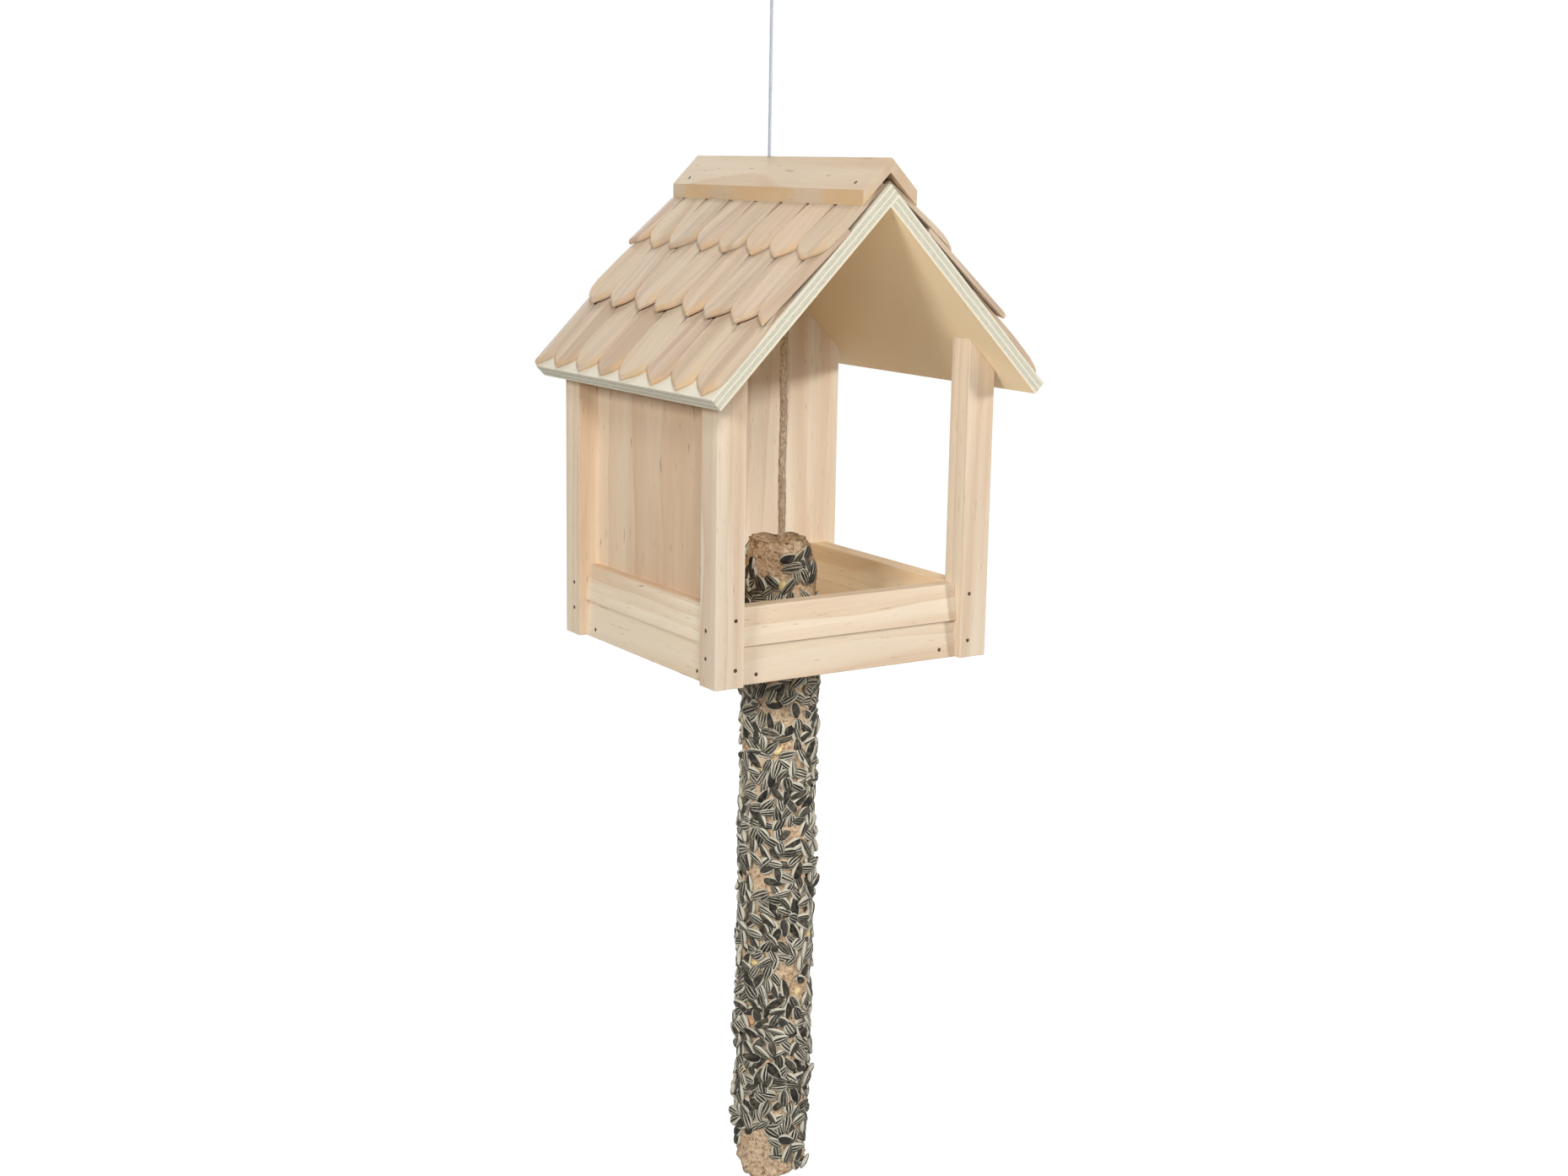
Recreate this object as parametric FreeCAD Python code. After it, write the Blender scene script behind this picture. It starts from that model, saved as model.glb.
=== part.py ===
import FreeCAD, Part
import math
import os

from FreeCAD import Placement, Rotation, Vector

# Hanging bird house feeder of pale pine: a house on corner posts under a shingled roof, hung on a steel
# cable, with a seed stick on a jute cord hanging down through its floor.
# X is the width, Y the depth with the open front at -Y, Z is up. Sizes are in millimetres and degrees.
# The pieces are drawn with the house's base at Z = 0 and its centre at X = Y = 0, and are saved with the
# crown of the hanging loop as the origin.

# House frame
HOUSE_WIDTH = 200.0
HOUSE_DEPTH = 190.0
POST_WIDTH = 20.0
POST_DEPTH = 18.0
POST_HEIGHT = 181.0
ROOF_PITCH = 45.0

# Lap boards between the posts, two on each side, leaning out at the foot
BOARD_HEIGHT = 23.4
BOARD_HEAD_RECESS = 7.5
BOARD_FOOT_RECESS = 5.0

# Floor, side wall and back wall
FLOOR_THICKNESS = 9.0
FLOOR_LIFT = 1.0
FLOOR_CLEARANCE = 0.3
STICK_HOLE_DIAMETER = 80.0
WALL_THICKNESS = 6.0

# Plywood roof, the left panel lapping over the right one at the ridge
PLYWOOD_THICKNESS = 9.0
EAVE_OVERHANG = 18.0
FRONT_OVERHANG = 24.6
BACK_OVERHANG = 5.0

# Leaf-shaped shingles in three courses on each slope
SHINGLE_THICKNESS = 3.0
SHINGLE_POINT = 11.5
SHINGLE_BULGE = 1.6
SHINGLE_TAPER = 2.0
BOW_STEPS = 3
SHINGLE_EXPOSURE = 50.3
SHINGLE_HEAD_LAP = 27.5
SHINGLE_SIDE_GAP = 0.7
SHINGLE_SEAT_GAP = 0.05
SHINGLES_ACROSS = 7.5
SHINGLE_COURSES = 3
EAVE_MARGIN = 0.6
RIDGE_SETBACK = 2.0
TIP_JOG = 1.1

# Ridge cap, one V-shaped moulding
CAP_END_SETBACK = 0.8
CAP_HALF_WIDTH = 19.0
CAP_DROP = 9.0
CAP_ROUNDING = 1.5
CAP_SEAT_GAP = 0.05

# Bent wire and cord, and wire nails
WIRE_SIDES = 6
NAIL_SIDES = 6
NAIL_DIAMETER = 1.4
NAIL_HEAD_DIAMETER = 2.7
NAIL_HEAD_HEIGHT = 0.9
NAIL_PROUD = 0.2
POST_NAIL_LENGTH = 28.0
ROOF_NAIL_LENGTH = 19.0
POST_NAIL_INSET_X = 14.0
POST_NAIL_INSET_Y = 11.0
POST_NAIL_LOW = 11.0
POST_NAIL_HIGH = 17.6
FLOOR_NAIL_INSET = 12.0
CAP_NAIL_INSET = 14.0
CAP_NAIL_RISE = 4.0

# Steel cable with its crimped loop above and its stop below the ridge
CABLE_DIAMETER = 2.0
CABLE_Y = 12.0
CABLE_CLEARANCE = 0.4
CABLE_ABOVE_CAP = 101.0
STOP_DIAMETER = 6.0
STOP_LENGTH = 9.0
STOP_TAIL = 2.0
STOP_GAP = 0.3
WASHER_DIAMETER = 14.0
WASHER_THICKNESS = 1.2
SLEEVE_LENGTH = 12.0
SLEEVE_WALL = 0.9
LOOP_RADIUS = 8.0
LOOP_RISE = 24.0

# Screw hook under the ridge
HOOK_Y = -9.0
HOOK_WIRE = 2.6
HOOK_RADIUS = 7.0
HOOK_BITE = 9.0
HOOK_SHANK = 6.0
HOOK_NECK = 10.0
HOOK_LIP = 3.5

# Jute cord: an eye over the hook, its knot and the run down to the stick
JUTE_DIAMETER = 4.0
JUTE_HOOK_GAP = 0.3
EYE_DROP = 22.0
KNOT_DIAMETER = 11.0
KNOT_END_DIAMETER = 7.0
KNOT_LENGTH = 13.0
KNOT_WAIST_LENGTH = 6.0
KNOT_GAP = 0.3
JUTE_ROOT = 30.0

# Seed stick: a fat and meal core with sunflower seeds and maize pressed into its skin
STICK_TOP = 72.0
STICK_LENGTH = 442.0
CORE_RADIUS = 23.0
CORE_END_RADIUS = 18.5
CORE_SHOULDER = 9.0
CORE_FOOT_RADIUS = 19.5
CORE_FOOT_RISE = 6.0
SEED_LENGTH = 11.6
SEED_WIDTH = 6.2
SEED_THICKNESS = 3.8
SEED_SPACING = 13.2
SEED_SINK = 0.6
SEED_END_MARGIN = 13.0
SEED_TURN = 137.5
MAIZE_EVERY = 23
BARE_EVERY = 13

# Places that follow from the sizes above
PITCH = math.radians(ROOF_PITCH)
HALF_WIDTH = HOUSE_WIDTH / 2
HALF_DEPTH = HOUSE_DEPTH / 2
INNER_X = HALF_WIDTH - POST_WIDTH
INNER_Y = HALF_DEPTH - POST_DEPTH
BOARDS_TOP = 2 * BOARD_HEIGHT
APEX_Z = POST_HEIGHT + HALF_WIDTH * math.tan(PITCH)
RIDGE_Z = APEX_Z + PLYWOOD_THICKNESS / math.cos(PITCH)
ROOF_FRONT = -HALF_DEPTH - FRONT_OVERHANG
ROOF_BACK = HALF_DEPTH + BACK_OVERHANG
SLOPE_UNDER = HALF_WIDTH / math.cos(PITCH) + EAVE_OVERHANG
SLOPE_OUTER = SLOPE_UNDER + PLYWOOD_THICKNESS * math.tan(PITCH)
SHINGLE_PITCH = (ROOF_BACK - ROOF_FRONT) / SHINGLES_ACROSS
CAP_FRONT = ROOF_FRONT + CAP_END_SETBACK
CAP_BACK = ROOF_BACK - CAP_END_SETBACK
WASHER_TOP = APEX_Z - WASHER_DIAMETER / 2 * math.tan(PITCH)
STOP_TOP = WASHER_TOP - WASHER_THICKNESS - STOP_GAP
HOOK_TURN_Z = APEX_Z - HOOK_SHANK - HOOK_NECK
HOOK_SEAT_Z = HOOK_TURN_Z - HOOK_RADIUS
EYE_RADIUS = HOOK_WIRE / 2 + JUTE_HOOK_GAP + JUTE_DIAMETER / 2
KNOT_Z = HOOK_SEAT_Z - EYE_DROP
EYE_FOOT = KNOT_Z + KNOT_DIAMETER / 2 + KNOT_GAP
CORD_HEAD = KNOT_Z - KNOT_DIAMETER / 2 - KNOT_GAP
STICK_BOTTOM = STICK_TOP - STICK_LENGTH


def roof_under(x):
    """Height of the roof's underside at x."""
    return APEX_Z - abs(x) * math.tan(PITCH)


def along_y(outline, start, end):
    """Solid with an outline of (x, z) points, from start to end along Y."""
    corners = [Vector(x, start, z) for x, z in outline]
    face = Part.Face(Part.makePolygon(corners + corners[:1]))
    return face.extrude(Vector(0, end - start, 0))


def along_x(outline, start, end):
    """Solid with an outline of (y, z) points, from start to end along X."""
    corners = [Vector(start, y, z) for y, z in outline]
    face = Part.Face(Part.makePolygon(corners + corners[:1]))
    return face.extrude(Vector(end - start, 0, 0))


def rod(foot, head, diameter):
    """Round bar between two points."""
    return Part.makeCylinder(diameter / 2, (head - foot).Length, foot, head - foot)


def many_sided(centre, axis, across, radius, sides):
    """Regular outline about a centre, square to an axis, with one flat facing across."""
    axis.normalize()
    third = axis.cross(across)
    corners = []
    for corner in range(sides + 1):
        angle = (corner + 0.5) * 2 * math.pi / sides
        corners.append(centre + across * (radius * math.cos(angle)) + third * (radius * math.sin(angle)))
    return Part.makePolygon(corners)


def wire_along(edges, diameter, across):
    """Wire or cord bent along a chain of lines and arcs, with across in their plane, square to the start."""
    spine = Part.Wire(edges)
    first = edges[0]
    start = first.valueAt(first.FirstParameter)
    heading = first.tangentAt(first.FirstParameter)
    section = many_sided(start, heading, across, diameter / 2, WIRE_SIDES)
    tube = spine.makePipeShell([section], True, False)
    plain = Part.Face(section).Area * spine.Length
    print("bent length", round(spine.Length, 1), "volume ratio to a plain run", round(tube.Volume / plain, 4))
    return tube


def slope_point(side, down, out, y):
    """Point on a roof slope: down from the ridge, out from the plywood. Side is -1 left, 1 right."""
    x = side * (down * math.cos(PITCH) + out * math.sin(PITCH))
    z = RIDGE_Z - down * math.sin(PITCH) + out * math.cos(PITCH)
    return Vector(x, y, z)


def slope_out(side):
    """Direction straight out of a roof slope."""
    return Vector(side * math.sin(PITCH), 0, math.cos(PITCH))


def corner_post(side_x, side_y):
    """Post with its top cut to the roof's pitch."""
    inner = side_x * INNER_X
    outer = side_x * HALF_WIDTH
    outline = [(inner, 0), (outer, 0), (outer, roof_under(outer)), (inner, roof_under(inner))]
    near, far = sorted((side_y * INNER_Y, side_y * HALF_DEPTH))
    return along_y(outline, near, far)


def lap_profile(side, half, back, row):
    """Section of a lap board: a flat back and a face that leans out towards the foot."""
    foot = row * BOARD_HEIGHT
    head = foot + BOARD_HEIGHT
    face_foot = side * (half - BOARD_FOOT_RECESS)
    face_head = side * (half - BOARD_HEAD_RECESS)
    return [(side * back, foot), (face_foot, foot), (face_head, head), (side * back, head)]


def end_board(side, row):
    """Lap board of the front (-1) or the back (1), between two posts."""
    return along_x(lap_profile(side, HALF_DEPTH, INNER_Y, row), -INNER_X, INNER_X)


def side_board(side, row):
    """Lap board of the left (-1) or right (1) side, between two posts."""
    return along_y(lap_profile(side, HALF_WIDTH, INNER_X, row), -INNER_Y, INNER_Y)


def floor_panel():
    """Floor between the lap boards, with the round hole that the seed stick hangs through."""
    width = 2 * (INNER_X - FLOOR_CLEARANCE)
    depth = 2 * (INNER_Y - FLOOR_CLEARANCE)
    corner = Vector(-width / 2, -depth / 2, FLOOR_LIFT)
    panel = Part.makeBox(width, depth, FLOOR_THICKNESS, corner)
    hole = Part.makeCylinder(STICK_HOLE_DIAMETER / 2, FLOOR_THICKNESS, Vector(0, HOOK_Y, FLOOR_LIFT))
    return panel.cut(hole)


def left_wall():
    """Side wall on the left boards, its back flush with the posts and its top under the roof."""
    inner = -INNER_X
    outer = inner - WALL_THICKNESS
    feet = [(inner, BOARDS_TOP), (outer, BOARDS_TOP)]
    heads = [(outer, roof_under(outer)), (inner, roof_under(inner))]
    return along_y(feet + heads, -INNER_Y, INNER_Y)


def back_wall():
    """Gable wall on the back boards, between the rear posts and up into the ridge."""
    outline = [
        (-INNER_X, BOARDS_TOP),
        (INNER_X, BOARDS_TOP),
        (INNER_X, roof_under(INNER_X)),
        (0, APEX_Z),
        (-INNER_X, roof_under(INNER_X)),
    ]
    return along_y(outline, INNER_Y, INNER_Y + WALL_THICKNESS)


def cable_hole():
    """Round hole for the cable, down through the ridge."""
    radius = CABLE_DIAMETER / 2 + CABLE_CLEARANCE
    foot = Vector(0, CABLE_Y, APEX_Z - PLYWOOD_THICKNESS)
    return Part.makeCylinder(radius, cap_apex() - foot.z + PLYWOOD_THICKNESS, foot)


def roof_panel(side):
    """Plywood slope. The left panel runs on over the upper end of the right one, which butts against it."""
    lap = PLYWOOD_THICKNESS / math.sin(2 * PITCH)
    lap_corner = (lap * math.cos(PITCH), APEX_Z + lap * math.sin(PITCH))
    eave_in = slope_point(side, SLOPE_OUTER, -PLYWOOD_THICKNESS, 0)
    eave_out = slope_point(side, SLOPE_OUTER, 0, 0)
    outline = [(0, APEX_Z), (eave_in.x, eave_in.z), (eave_out.x, eave_out.z)]
    if side < 0:
        outline.append((0, RIDGE_Z))
    outline.append(lap_corner)
    return along_y(outline, ROOF_FRONT, ROOF_BACK).cut(cable_hole())


def course_tip(course):
    """Distance from the ridge to a course's points, course 0 being the lowest."""
    return SLOPE_OUTER - EAVE_MARGIN - course * SHINGLE_EXPOSURE


def course_head(course):
    """Distance from the ridge to a course's upper ends, under the course above or at the ridge."""
    if course == SHINGLE_COURSES - 1:
        return RIDGE_SETBACK
    return course_tip(course + 1) - SHINGLE_HEAD_LAP


def course_rise(course):
    """How steeply a course lifts off the plywood to pass over the heads of the course below."""
    if course == 0:
        return 0.0
    return (SHINGLE_THICKNESS + SHINGLE_SEAT_GAP) / (course_head(course - 1) - course_head(course))


def shingle(side, course, middle, number):
    """One leaf-shaped shingle: narrower at its head, with two bowed edges that meet in a point."""
    half = (SHINGLE_PITCH - SHINGLE_SIDE_GAP) / 2
    head = course_head(course)
    rise = course_rise(course)
    tip_down = course_tip(course) - TIP_JOG * (1 + math.sin(2.4 * number + course)) / 2
    tip_y = middle + TIP_JOG * math.cos(1.7 * number + 2 * course)
    shoulder = course_tip(course) - SHINGLE_POINT

    def at(down, y):
        return slope_point(side, down, (down - head) * rise, y)

    def bowed_edge(edge):
        points = []
        for step in range(BOW_STEPS):
            share = step / BOW_STEPS
            swell = SHINGLE_BULGE * math.sin(math.pi * share)
            down = shoulder + (tip_down - shoulder) * share + swell
            y = middle + edge * half + (tip_y - middle - edge * half) * share + edge * swell
            points.append(at(down, y))
        return points

    head_half = half - SHINGLE_TAPER
    head_corners = [at(head, middle - head_half), at(head, middle + head_half)]
    outline = head_corners + bowed_edge(1) + [at(tip_down, tip_y)] + bowed_edge(-1)[::-1]
    face = Part.Face(Part.makePolygon(outline + outline[:1]))
    tilt = math.atan(rise)
    along = Vector(side * math.cos(PITCH), 0, -math.sin(PITCH))
    out = slope_out(side) * math.cos(tilt) - along * math.sin(tilt)
    return face.extrude(out * SHINGLE_THICKNESS)


def shingle_course(side, course):
    """A row of shingles with a half one at one end, at the other end in the next course."""
    start = ROOF_FRONT if course % 2 == 0 else ROOF_FRONT - SHINGLE_PITCH / 2
    room = Part.makeBox(4 * HOUSE_WIDTH, ROOF_BACK - ROOF_FRONT, 4 * RIDGE_Z)
    room.translate(Vector(-2 * HOUSE_WIDTH, ROOF_FRONT, -RIDGE_Z))
    shingles = []
    for number in range(math.ceil((ROOF_BACK - start) / SHINGLE_PITCH)):
        middle = start + (number + 0.5) * SHINGLE_PITCH
        leaf = shingle(side, course, middle, number + 3 * side)
        low, high = leaf.BoundBox.YMin, leaf.BoundBox.YMax
        if low < ROOF_FRONT or high > ROOF_BACK:
            leaf = leaf.common(room).Solids[0]
        shingles.append(leaf)
    return Part.makeCompound(shingles)


def cap_seat():
    """Where the cap's inner lower edge rests on the top course: distance down the slope, and out from it."""
    course = SHINGLE_COURSES - 1
    rise = course_rise(course)
    skin = SHINGLE_THICKNESS / math.cos(math.atan(rise)) + CAP_SEAT_GAP
    reach = CAP_HALF_WIDTH / math.cos(PITCH) - course_head(course)
    out = (reach * rise + skin) / (1 + rise * math.tan(PITCH))
    return (CAP_HALF_WIDTH - out * math.sin(PITCH)) / math.cos(PITCH), out


def cap_apex():
    """Height of the ridge cap's outer edge."""
    down, out = cap_seat()
    foot = slope_point(1, down, out, 0).z
    return foot + CAP_DROP + CAP_HALF_WIDTH * math.tan(PITCH)


def ridge_cap():
    """V-shaped moulding with plumb-cut lower edges and a softened ridge line."""
    top = cap_apex()
    edge = top - CAP_HALF_WIDTH * math.tan(PITCH)
    outline = [
        (0, top),
        (CAP_HALF_WIDTH, edge),
        (CAP_HALF_WIDTH, edge - CAP_DROP),
        (0, top - CAP_DROP),
        (-CAP_HALF_WIDTH, edge - CAP_DROP),
        (-CAP_HALF_WIDTH, edge),
    ]
    cap = along_y(outline, CAP_FRONT, CAP_BACK)
    ridge_line = [edge for edge in cap.Edges if edge.BoundBox.ZMin > top - CAP_ROUNDING / 2]
    return cap.makeFillet(CAP_ROUNDING, ridge_line).cut(cable_hole())


def nail(head, inward, length, proud=NAIL_PROUD):
    """Wire nail driven inward from a point on a face, its head standing a little proud."""
    axis = Vector(inward)
    axis.normalize()
    top = head - axis * proud
    across = Vector(0, 1, 0) if abs(axis.y) < 0.5 else Vector(1, 0, 0)
    shank = Part.Face(many_sided(top, axis, across, NAIL_DIAMETER / 2, NAIL_SIDES)).extrude(axis * length)
    disc = Part.Face(many_sided(top, axis, across, NAIL_HEAD_DIAMETER / 2, NAIL_SIDES))
    return shank.fuse(disc.extrude(axis * NAIL_HEAD_HEIGHT)).removeSplitter()


def post_nails():
    """Nails through the posts into the ends of the lap boards, two ways in each post."""
    nails = []
    for side_x in (-1, 1):
        for side_y in (-1, 1):
            for row in (0, 1):
                low = row * BOARD_HEIGHT + POST_NAIL_LOW
                high = row * BOARD_HEIGHT + POST_NAIL_HIGH
                to_side, to_end = (low, high) if row == 0 else (high, low)
                on_end = Vector(side_x * (HALF_WIDTH - POST_NAIL_INSET_X), side_y * HALF_DEPTH, to_side)
                on_side = Vector(side_x * HALF_WIDTH, side_y * (HALF_DEPTH - POST_NAIL_INSET_Y), to_end)
                nails.append(nail(on_end, Vector(0, -side_y, 0), POST_NAIL_LENGTH))
                nails.append(nail(on_side, Vector(-side_x, 0, 0), POST_NAIL_LENGTH))
    return Part.makeCompound(nails)


def floor_nails():
    """Nails through the lower lap boards into the floor's edges."""
    height = FLOOR_LIFT + FLOOR_THICKNESS / 2
    lean = (BOARD_HEAD_RECESS - BOARD_FOOT_RECESS) * height / BOARD_HEIGHT
    recess = BOARD_FOOT_RECESS + lean
    nails = []
    for side in (-1, 1):
        for end in (-1, 1):
            x = end * (INNER_X - FLOOR_NAIL_INSET)
            y = end * (INNER_Y - FLOOR_NAIL_INSET)
            on_end = Vector(x, side * (HALF_DEPTH - recess), height)
            on_side = Vector(side * (HALF_WIDTH - recess), y, height)
            nails.append(nail(on_end, Vector(0, -side, 0), POST_NAIL_LENGTH))
            nails.append(nail(on_side, Vector(-side, 0, 0), POST_NAIL_LENGTH))
    return Part.makeCompound(nails)


def roof_nails():
    """Nails through the plywood into the post tops, under the lowest shingles."""
    down = (INNER_X + POST_WIDTH / 2) / math.cos(PITCH) + PLYWOOD_THICKNESS * math.tan(PITCH)
    nails = []
    for side in (-1, 1):
        for y in (-INNER_Y - POST_DEPTH / 2, INNER_Y + POST_DEPTH / 2):
            head = slope_point(side, down, 0, y)
            nails.append(nail(head, -slope_out(side), ROOF_NAIL_LENGTH, proud=0.0))
    return Part.makeCompound(nails)


def cap_nails():
    """Nails through the cap's legs and the top shingles into the plywood."""
    face = cap_apex() - (CAP_HALF_WIDTH - CAP_NAIL_RISE) * math.tan(PITCH)
    nails = []
    for side in (-1, 1):
        for y in (CAP_FRONT + CAP_NAIL_INSET, CAP_BACK - CAP_NAIL_INSET):
            head = Vector(side * (CAP_HALF_WIDTH - CAP_NAIL_RISE), y, face)
            nails.append(nail(head, -slope_out(side), ROOF_NAIL_LENGTH))
    return Part.makeCompound(nails)


def stop_washer():
    """Washer lodged under the ridge, its rim against both slopes."""
    foot = Vector(0, CABLE_Y, WASHER_TOP - WASHER_THICKNESS)
    disc = Part.makeCylinder(WASHER_DIAMETER / 2, WASHER_THICKNESS, foot)
    hole = Part.makeCylinder(CABLE_DIAMETER / 2 + CABLE_CLEARANCE, WASHER_THICKNESS, foot)
    return disc.cut(hole)


def stop_sleeve():
    """Crimped stop on the cable that carries the house by the washer."""
    foot = Vector(0, CABLE_Y, STOP_TOP - STOP_LENGTH)
    barrel = Part.makeCylinder(STOP_DIAMETER / 2, STOP_LENGTH, foot)
    return barrel.cut(Part.makeCylinder(CABLE_DIAMETER / 2, STOP_LENGTH, foot))


def sleeve_foot():
    """Height of the loop sleeve's lower face."""
    return cap_apex() + CABLE_ABOVE_CAP


def suspension_cable():
    """Cable from its tail under the stop up to the loop's sleeve."""
    foot = Vector(0, CABLE_Y, STOP_TOP - STOP_LENGTH - STOP_TAIL)
    return rod(foot, Vector(0, CABLE_Y, sleeve_foot()), CABLE_DIAMETER)


def loop_sleeve():
    """Oval crimped sleeve that holds both legs of the hanging loop."""
    half = CABLE_DIAMETER / 2
    radius = half + SLEEVE_WALL
    ends = [Vector(side * half, CABLE_Y, sleeve_foot()) for side in (-1, 1)]
    barrels = [Part.makeCylinder(radius, SLEEVE_LENGTH, end) for end in ends]
    web = Part.makeBox(2 * half, 2 * radius, SLEEVE_LENGTH, Vector(-half, CABLE_Y - radius, sleeve_foot()))
    return barrels[0].fuse([barrels[1], web]).removeSplitter()


def loop_centre():
    """Centre of the hanging loop's round end."""
    return Vector(0, CABLE_Y, sleeve_foot() + SLEEVE_LENGTH + LOOP_RISE)


def hanging_loop():
    """Loop of the same cable: straight out of the sleeve, spreading in two wide bends, round over the top."""
    centre = loop_centre()
    leg = CABLE_DIAMETER / 2
    sleeve_top = sleeve_foot() + SLEEVE_LENGTH
    spread_z = sleeve_top + CABLE_DIAMETER
    rise = centre.z - spread_z
    spread = (leg ** 2 + rise ** 2 - LOOP_RADIUS ** 2) / (2 * (LOOP_RADIUS - leg))
    spread_centre = Vector(leg + spread, CABLE_Y, spread_z)
    meeting = centre + (spread_centre - centre) * (LOOP_RADIUS / (LOOP_RADIUS + spread))
    start = Vector(leg, CABLE_Y, spread_z)
    halfway = (start + meeting) * 0.5 - spread_centre
    bend = spread_centre + halfway * (spread / halfway.Length)
    crown = centre + Vector(0, 0, LOOP_RADIUS)

    def mirrored(point):
        return Vector(-point.x, point.y, point.z)

    edges = [
        Part.LineSegment(Vector(leg, CABLE_Y, sleeve_top), start).toShape(),
        Part.Arc(start, bend, meeting).toShape(),
        Part.Arc(meeting, crown, mirrored(meeting)).toShape(),
        Part.Arc(mirrored(meeting), mirrored(bend), mirrored(start)).toShape(),
        Part.LineSegment(mirrored(start), Vector(-leg, CABLE_Y, sleeve_top)).toShape(),
    ]
    print("hanging loop: spread radius", round(spread, 1))
    return wire_along(edges, CABLE_DIAMETER, Vector(1, 0, 0))


def screw_hook():
    """Hook of bent wire, its screw end in the ridge and its bowl straight under it."""
    def at(x, z):
        return Vector(x, HOOK_Y, z)

    bow = HOOK_NECK / 2
    shank_foot = APEX_Z - HOOK_SHANK
    half_turn = HOOK_RADIUS / 2
    swing = (half_turn ** 2 + bow ** 2) / (2 * half_turn)
    bend = math.asin(bow / swing) / 2
    inset = swing * (1 - math.cos(bend))
    fall = swing * math.sin(bend)
    neck = at(0, shank_foot)
    elbow = at(-half_turn, shank_foot - bow)
    bowl_left = at(-HOOK_RADIUS, HOOK_TURN_Z)
    bowl_right = at(HOOK_RADIUS, HOOK_TURN_Z)
    edges = [
        Part.LineSegment(at(0, APEX_Z + HOOK_BITE), neck).toShape(),
        Part.Arc(neck, at(-inset, shank_foot - fall), elbow).toShape(),
        Part.Arc(elbow, at(inset - HOOK_RADIUS, HOOK_TURN_Z + fall), bowl_left).toShape(),
        Part.Arc(bowl_left, at(0, HOOK_SEAT_Z), bowl_right).toShape(),
        Part.LineSegment(bowl_right, at(HOOK_RADIUS, HOOK_TURN_Z + HOOK_LIP)).toShape(),
    ]
    return wire_along(edges, HOOK_WIRE, Vector(1, 0, 0))


def jute_eye():
    """Eye of the cord: over the hook's wire and down on both sides into the knot."""
    def at(y, z):
        return Vector(0, HOOK_Y + y, z)

    back = at(EYE_RADIUS, HOOK_SEAT_Z)
    front = at(-EYE_RADIUS, HOOK_SEAT_Z)
    edges = [
        Part.LineSegment(at(EYE_RADIUS, EYE_FOOT), back).toShape(),
        Part.Arc(back, at(0, HOOK_SEAT_Z + EYE_RADIUS), front).toShape(),
        Part.LineSegment(front, at(-EYE_RADIUS, EYE_FOOT)).toShape(),
    ]
    return wire_along(edges, JUTE_DIAMETER, Vector(0, 1, 0))


def jute_knot():
    """Knot under the eye: the cord's turn round itself, a barrel lying across below the two legs."""
    waist = KNOT_WAIST_LENGTH / 2
    half = KNOT_LENGTH / 2
    outline = [
        Vector(0, -half, 0),
        Vector(0, -half, KNOT_END_DIAMETER / 2),
        Vector(0, -waist, KNOT_DIAMETER / 2),
        Vector(0, waist, KNOT_DIAMETER / 2),
        Vector(0, half, KNOT_END_DIAMETER / 2),
        Vector(0, half, 0),
        Vector(0, -half, 0),
    ]
    lump = Part.Face(Part.makePolygon(outline)).revolve(Vector(0, 0, 0), Vector(0, 1, 0), 360)
    return lump.translated(Vector(0, HOOK_Y, KNOT_Z))


def jute_cord():
    """Straight run of jute from the knot down into the stick's core."""
    return rod(Vector(0, HOOK_Y, STICK_TOP - JUTE_ROOT), Vector(0, HOOK_Y, CORD_HEAD), JUTE_DIAMETER)


def stick_core():
    """Moulded core with a sloping shoulder at the top and a blunt foot."""
    outline = [
        Vector(0, 0, STICK_TOP),
        Vector(CORE_END_RADIUS, 0, STICK_TOP),
        Vector(CORE_RADIUS, 0, STICK_TOP - CORE_SHOULDER),
        Vector(CORE_RADIUS, 0, STICK_BOTTOM + CORE_FOOT_RISE),
        Vector(CORE_FOOT_RADIUS, 0, STICK_BOTTOM),
        Vector(0, 0, STICK_BOTTOM),
        Vector(0, 0, STICK_TOP),
    ]
    core = Part.Face(Part.makePolygon(outline)).revolve(Vector(0, 0, 0), Vector(0, 0, 1), 360)
    core.translate(Vector(0, HOOK_Y, 0))
    socket = rod(Vector(0, HOOK_Y, STICK_TOP - JUTE_ROOT), Vector(0, HOOK_Y, STICK_TOP), JUTE_DIAMETER)
    return core.cut(socket)


def faceted(belt, top, bottom):
    """Closed solid between a belt of points and two crown lines that each belt point is joined to."""
    faces = []
    for crown in (top, bottom):
        for here, there in zip(belt, belt[1:] + belt[:1]):
            near = min(crown, key=lambda point: (point - here).Length)
            far = min(crown, key=lambda point: (point - there).Length)
            faces.append(Part.Face(Part.makePolygon([here, there, far, here])))
            if near != far:
                faces.append(Part.Face(Part.makePolygon([here, far, near, here])))
    return Part.Solid(Part.Shell(faces))


def sunflower_seed():
    """Seed lying on its flat side: pointed at one end, widest before the blunt one, ridged along it."""
    half_length = SEED_LENGTH / 2
    half_width = SEED_WIDTH / 2
    half_thickness = SEED_THICKNESS / 2
    belt = [
        Vector(half_length, 0, 0),
        Vector(-0.3 * half_length, half_width, 0),
        Vector(-half_length, 0, 0),
        Vector(-0.3 * half_length, -half_width, 0),
    ]
    ridge = [Vector(end * half_length, 0, half_thickness) for end in (0.25, -0.65)]
    keel = [Vector(-0.2 * half_length, 0, -half_thickness)]
    return faceted(belt, ridge, keel)


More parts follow.
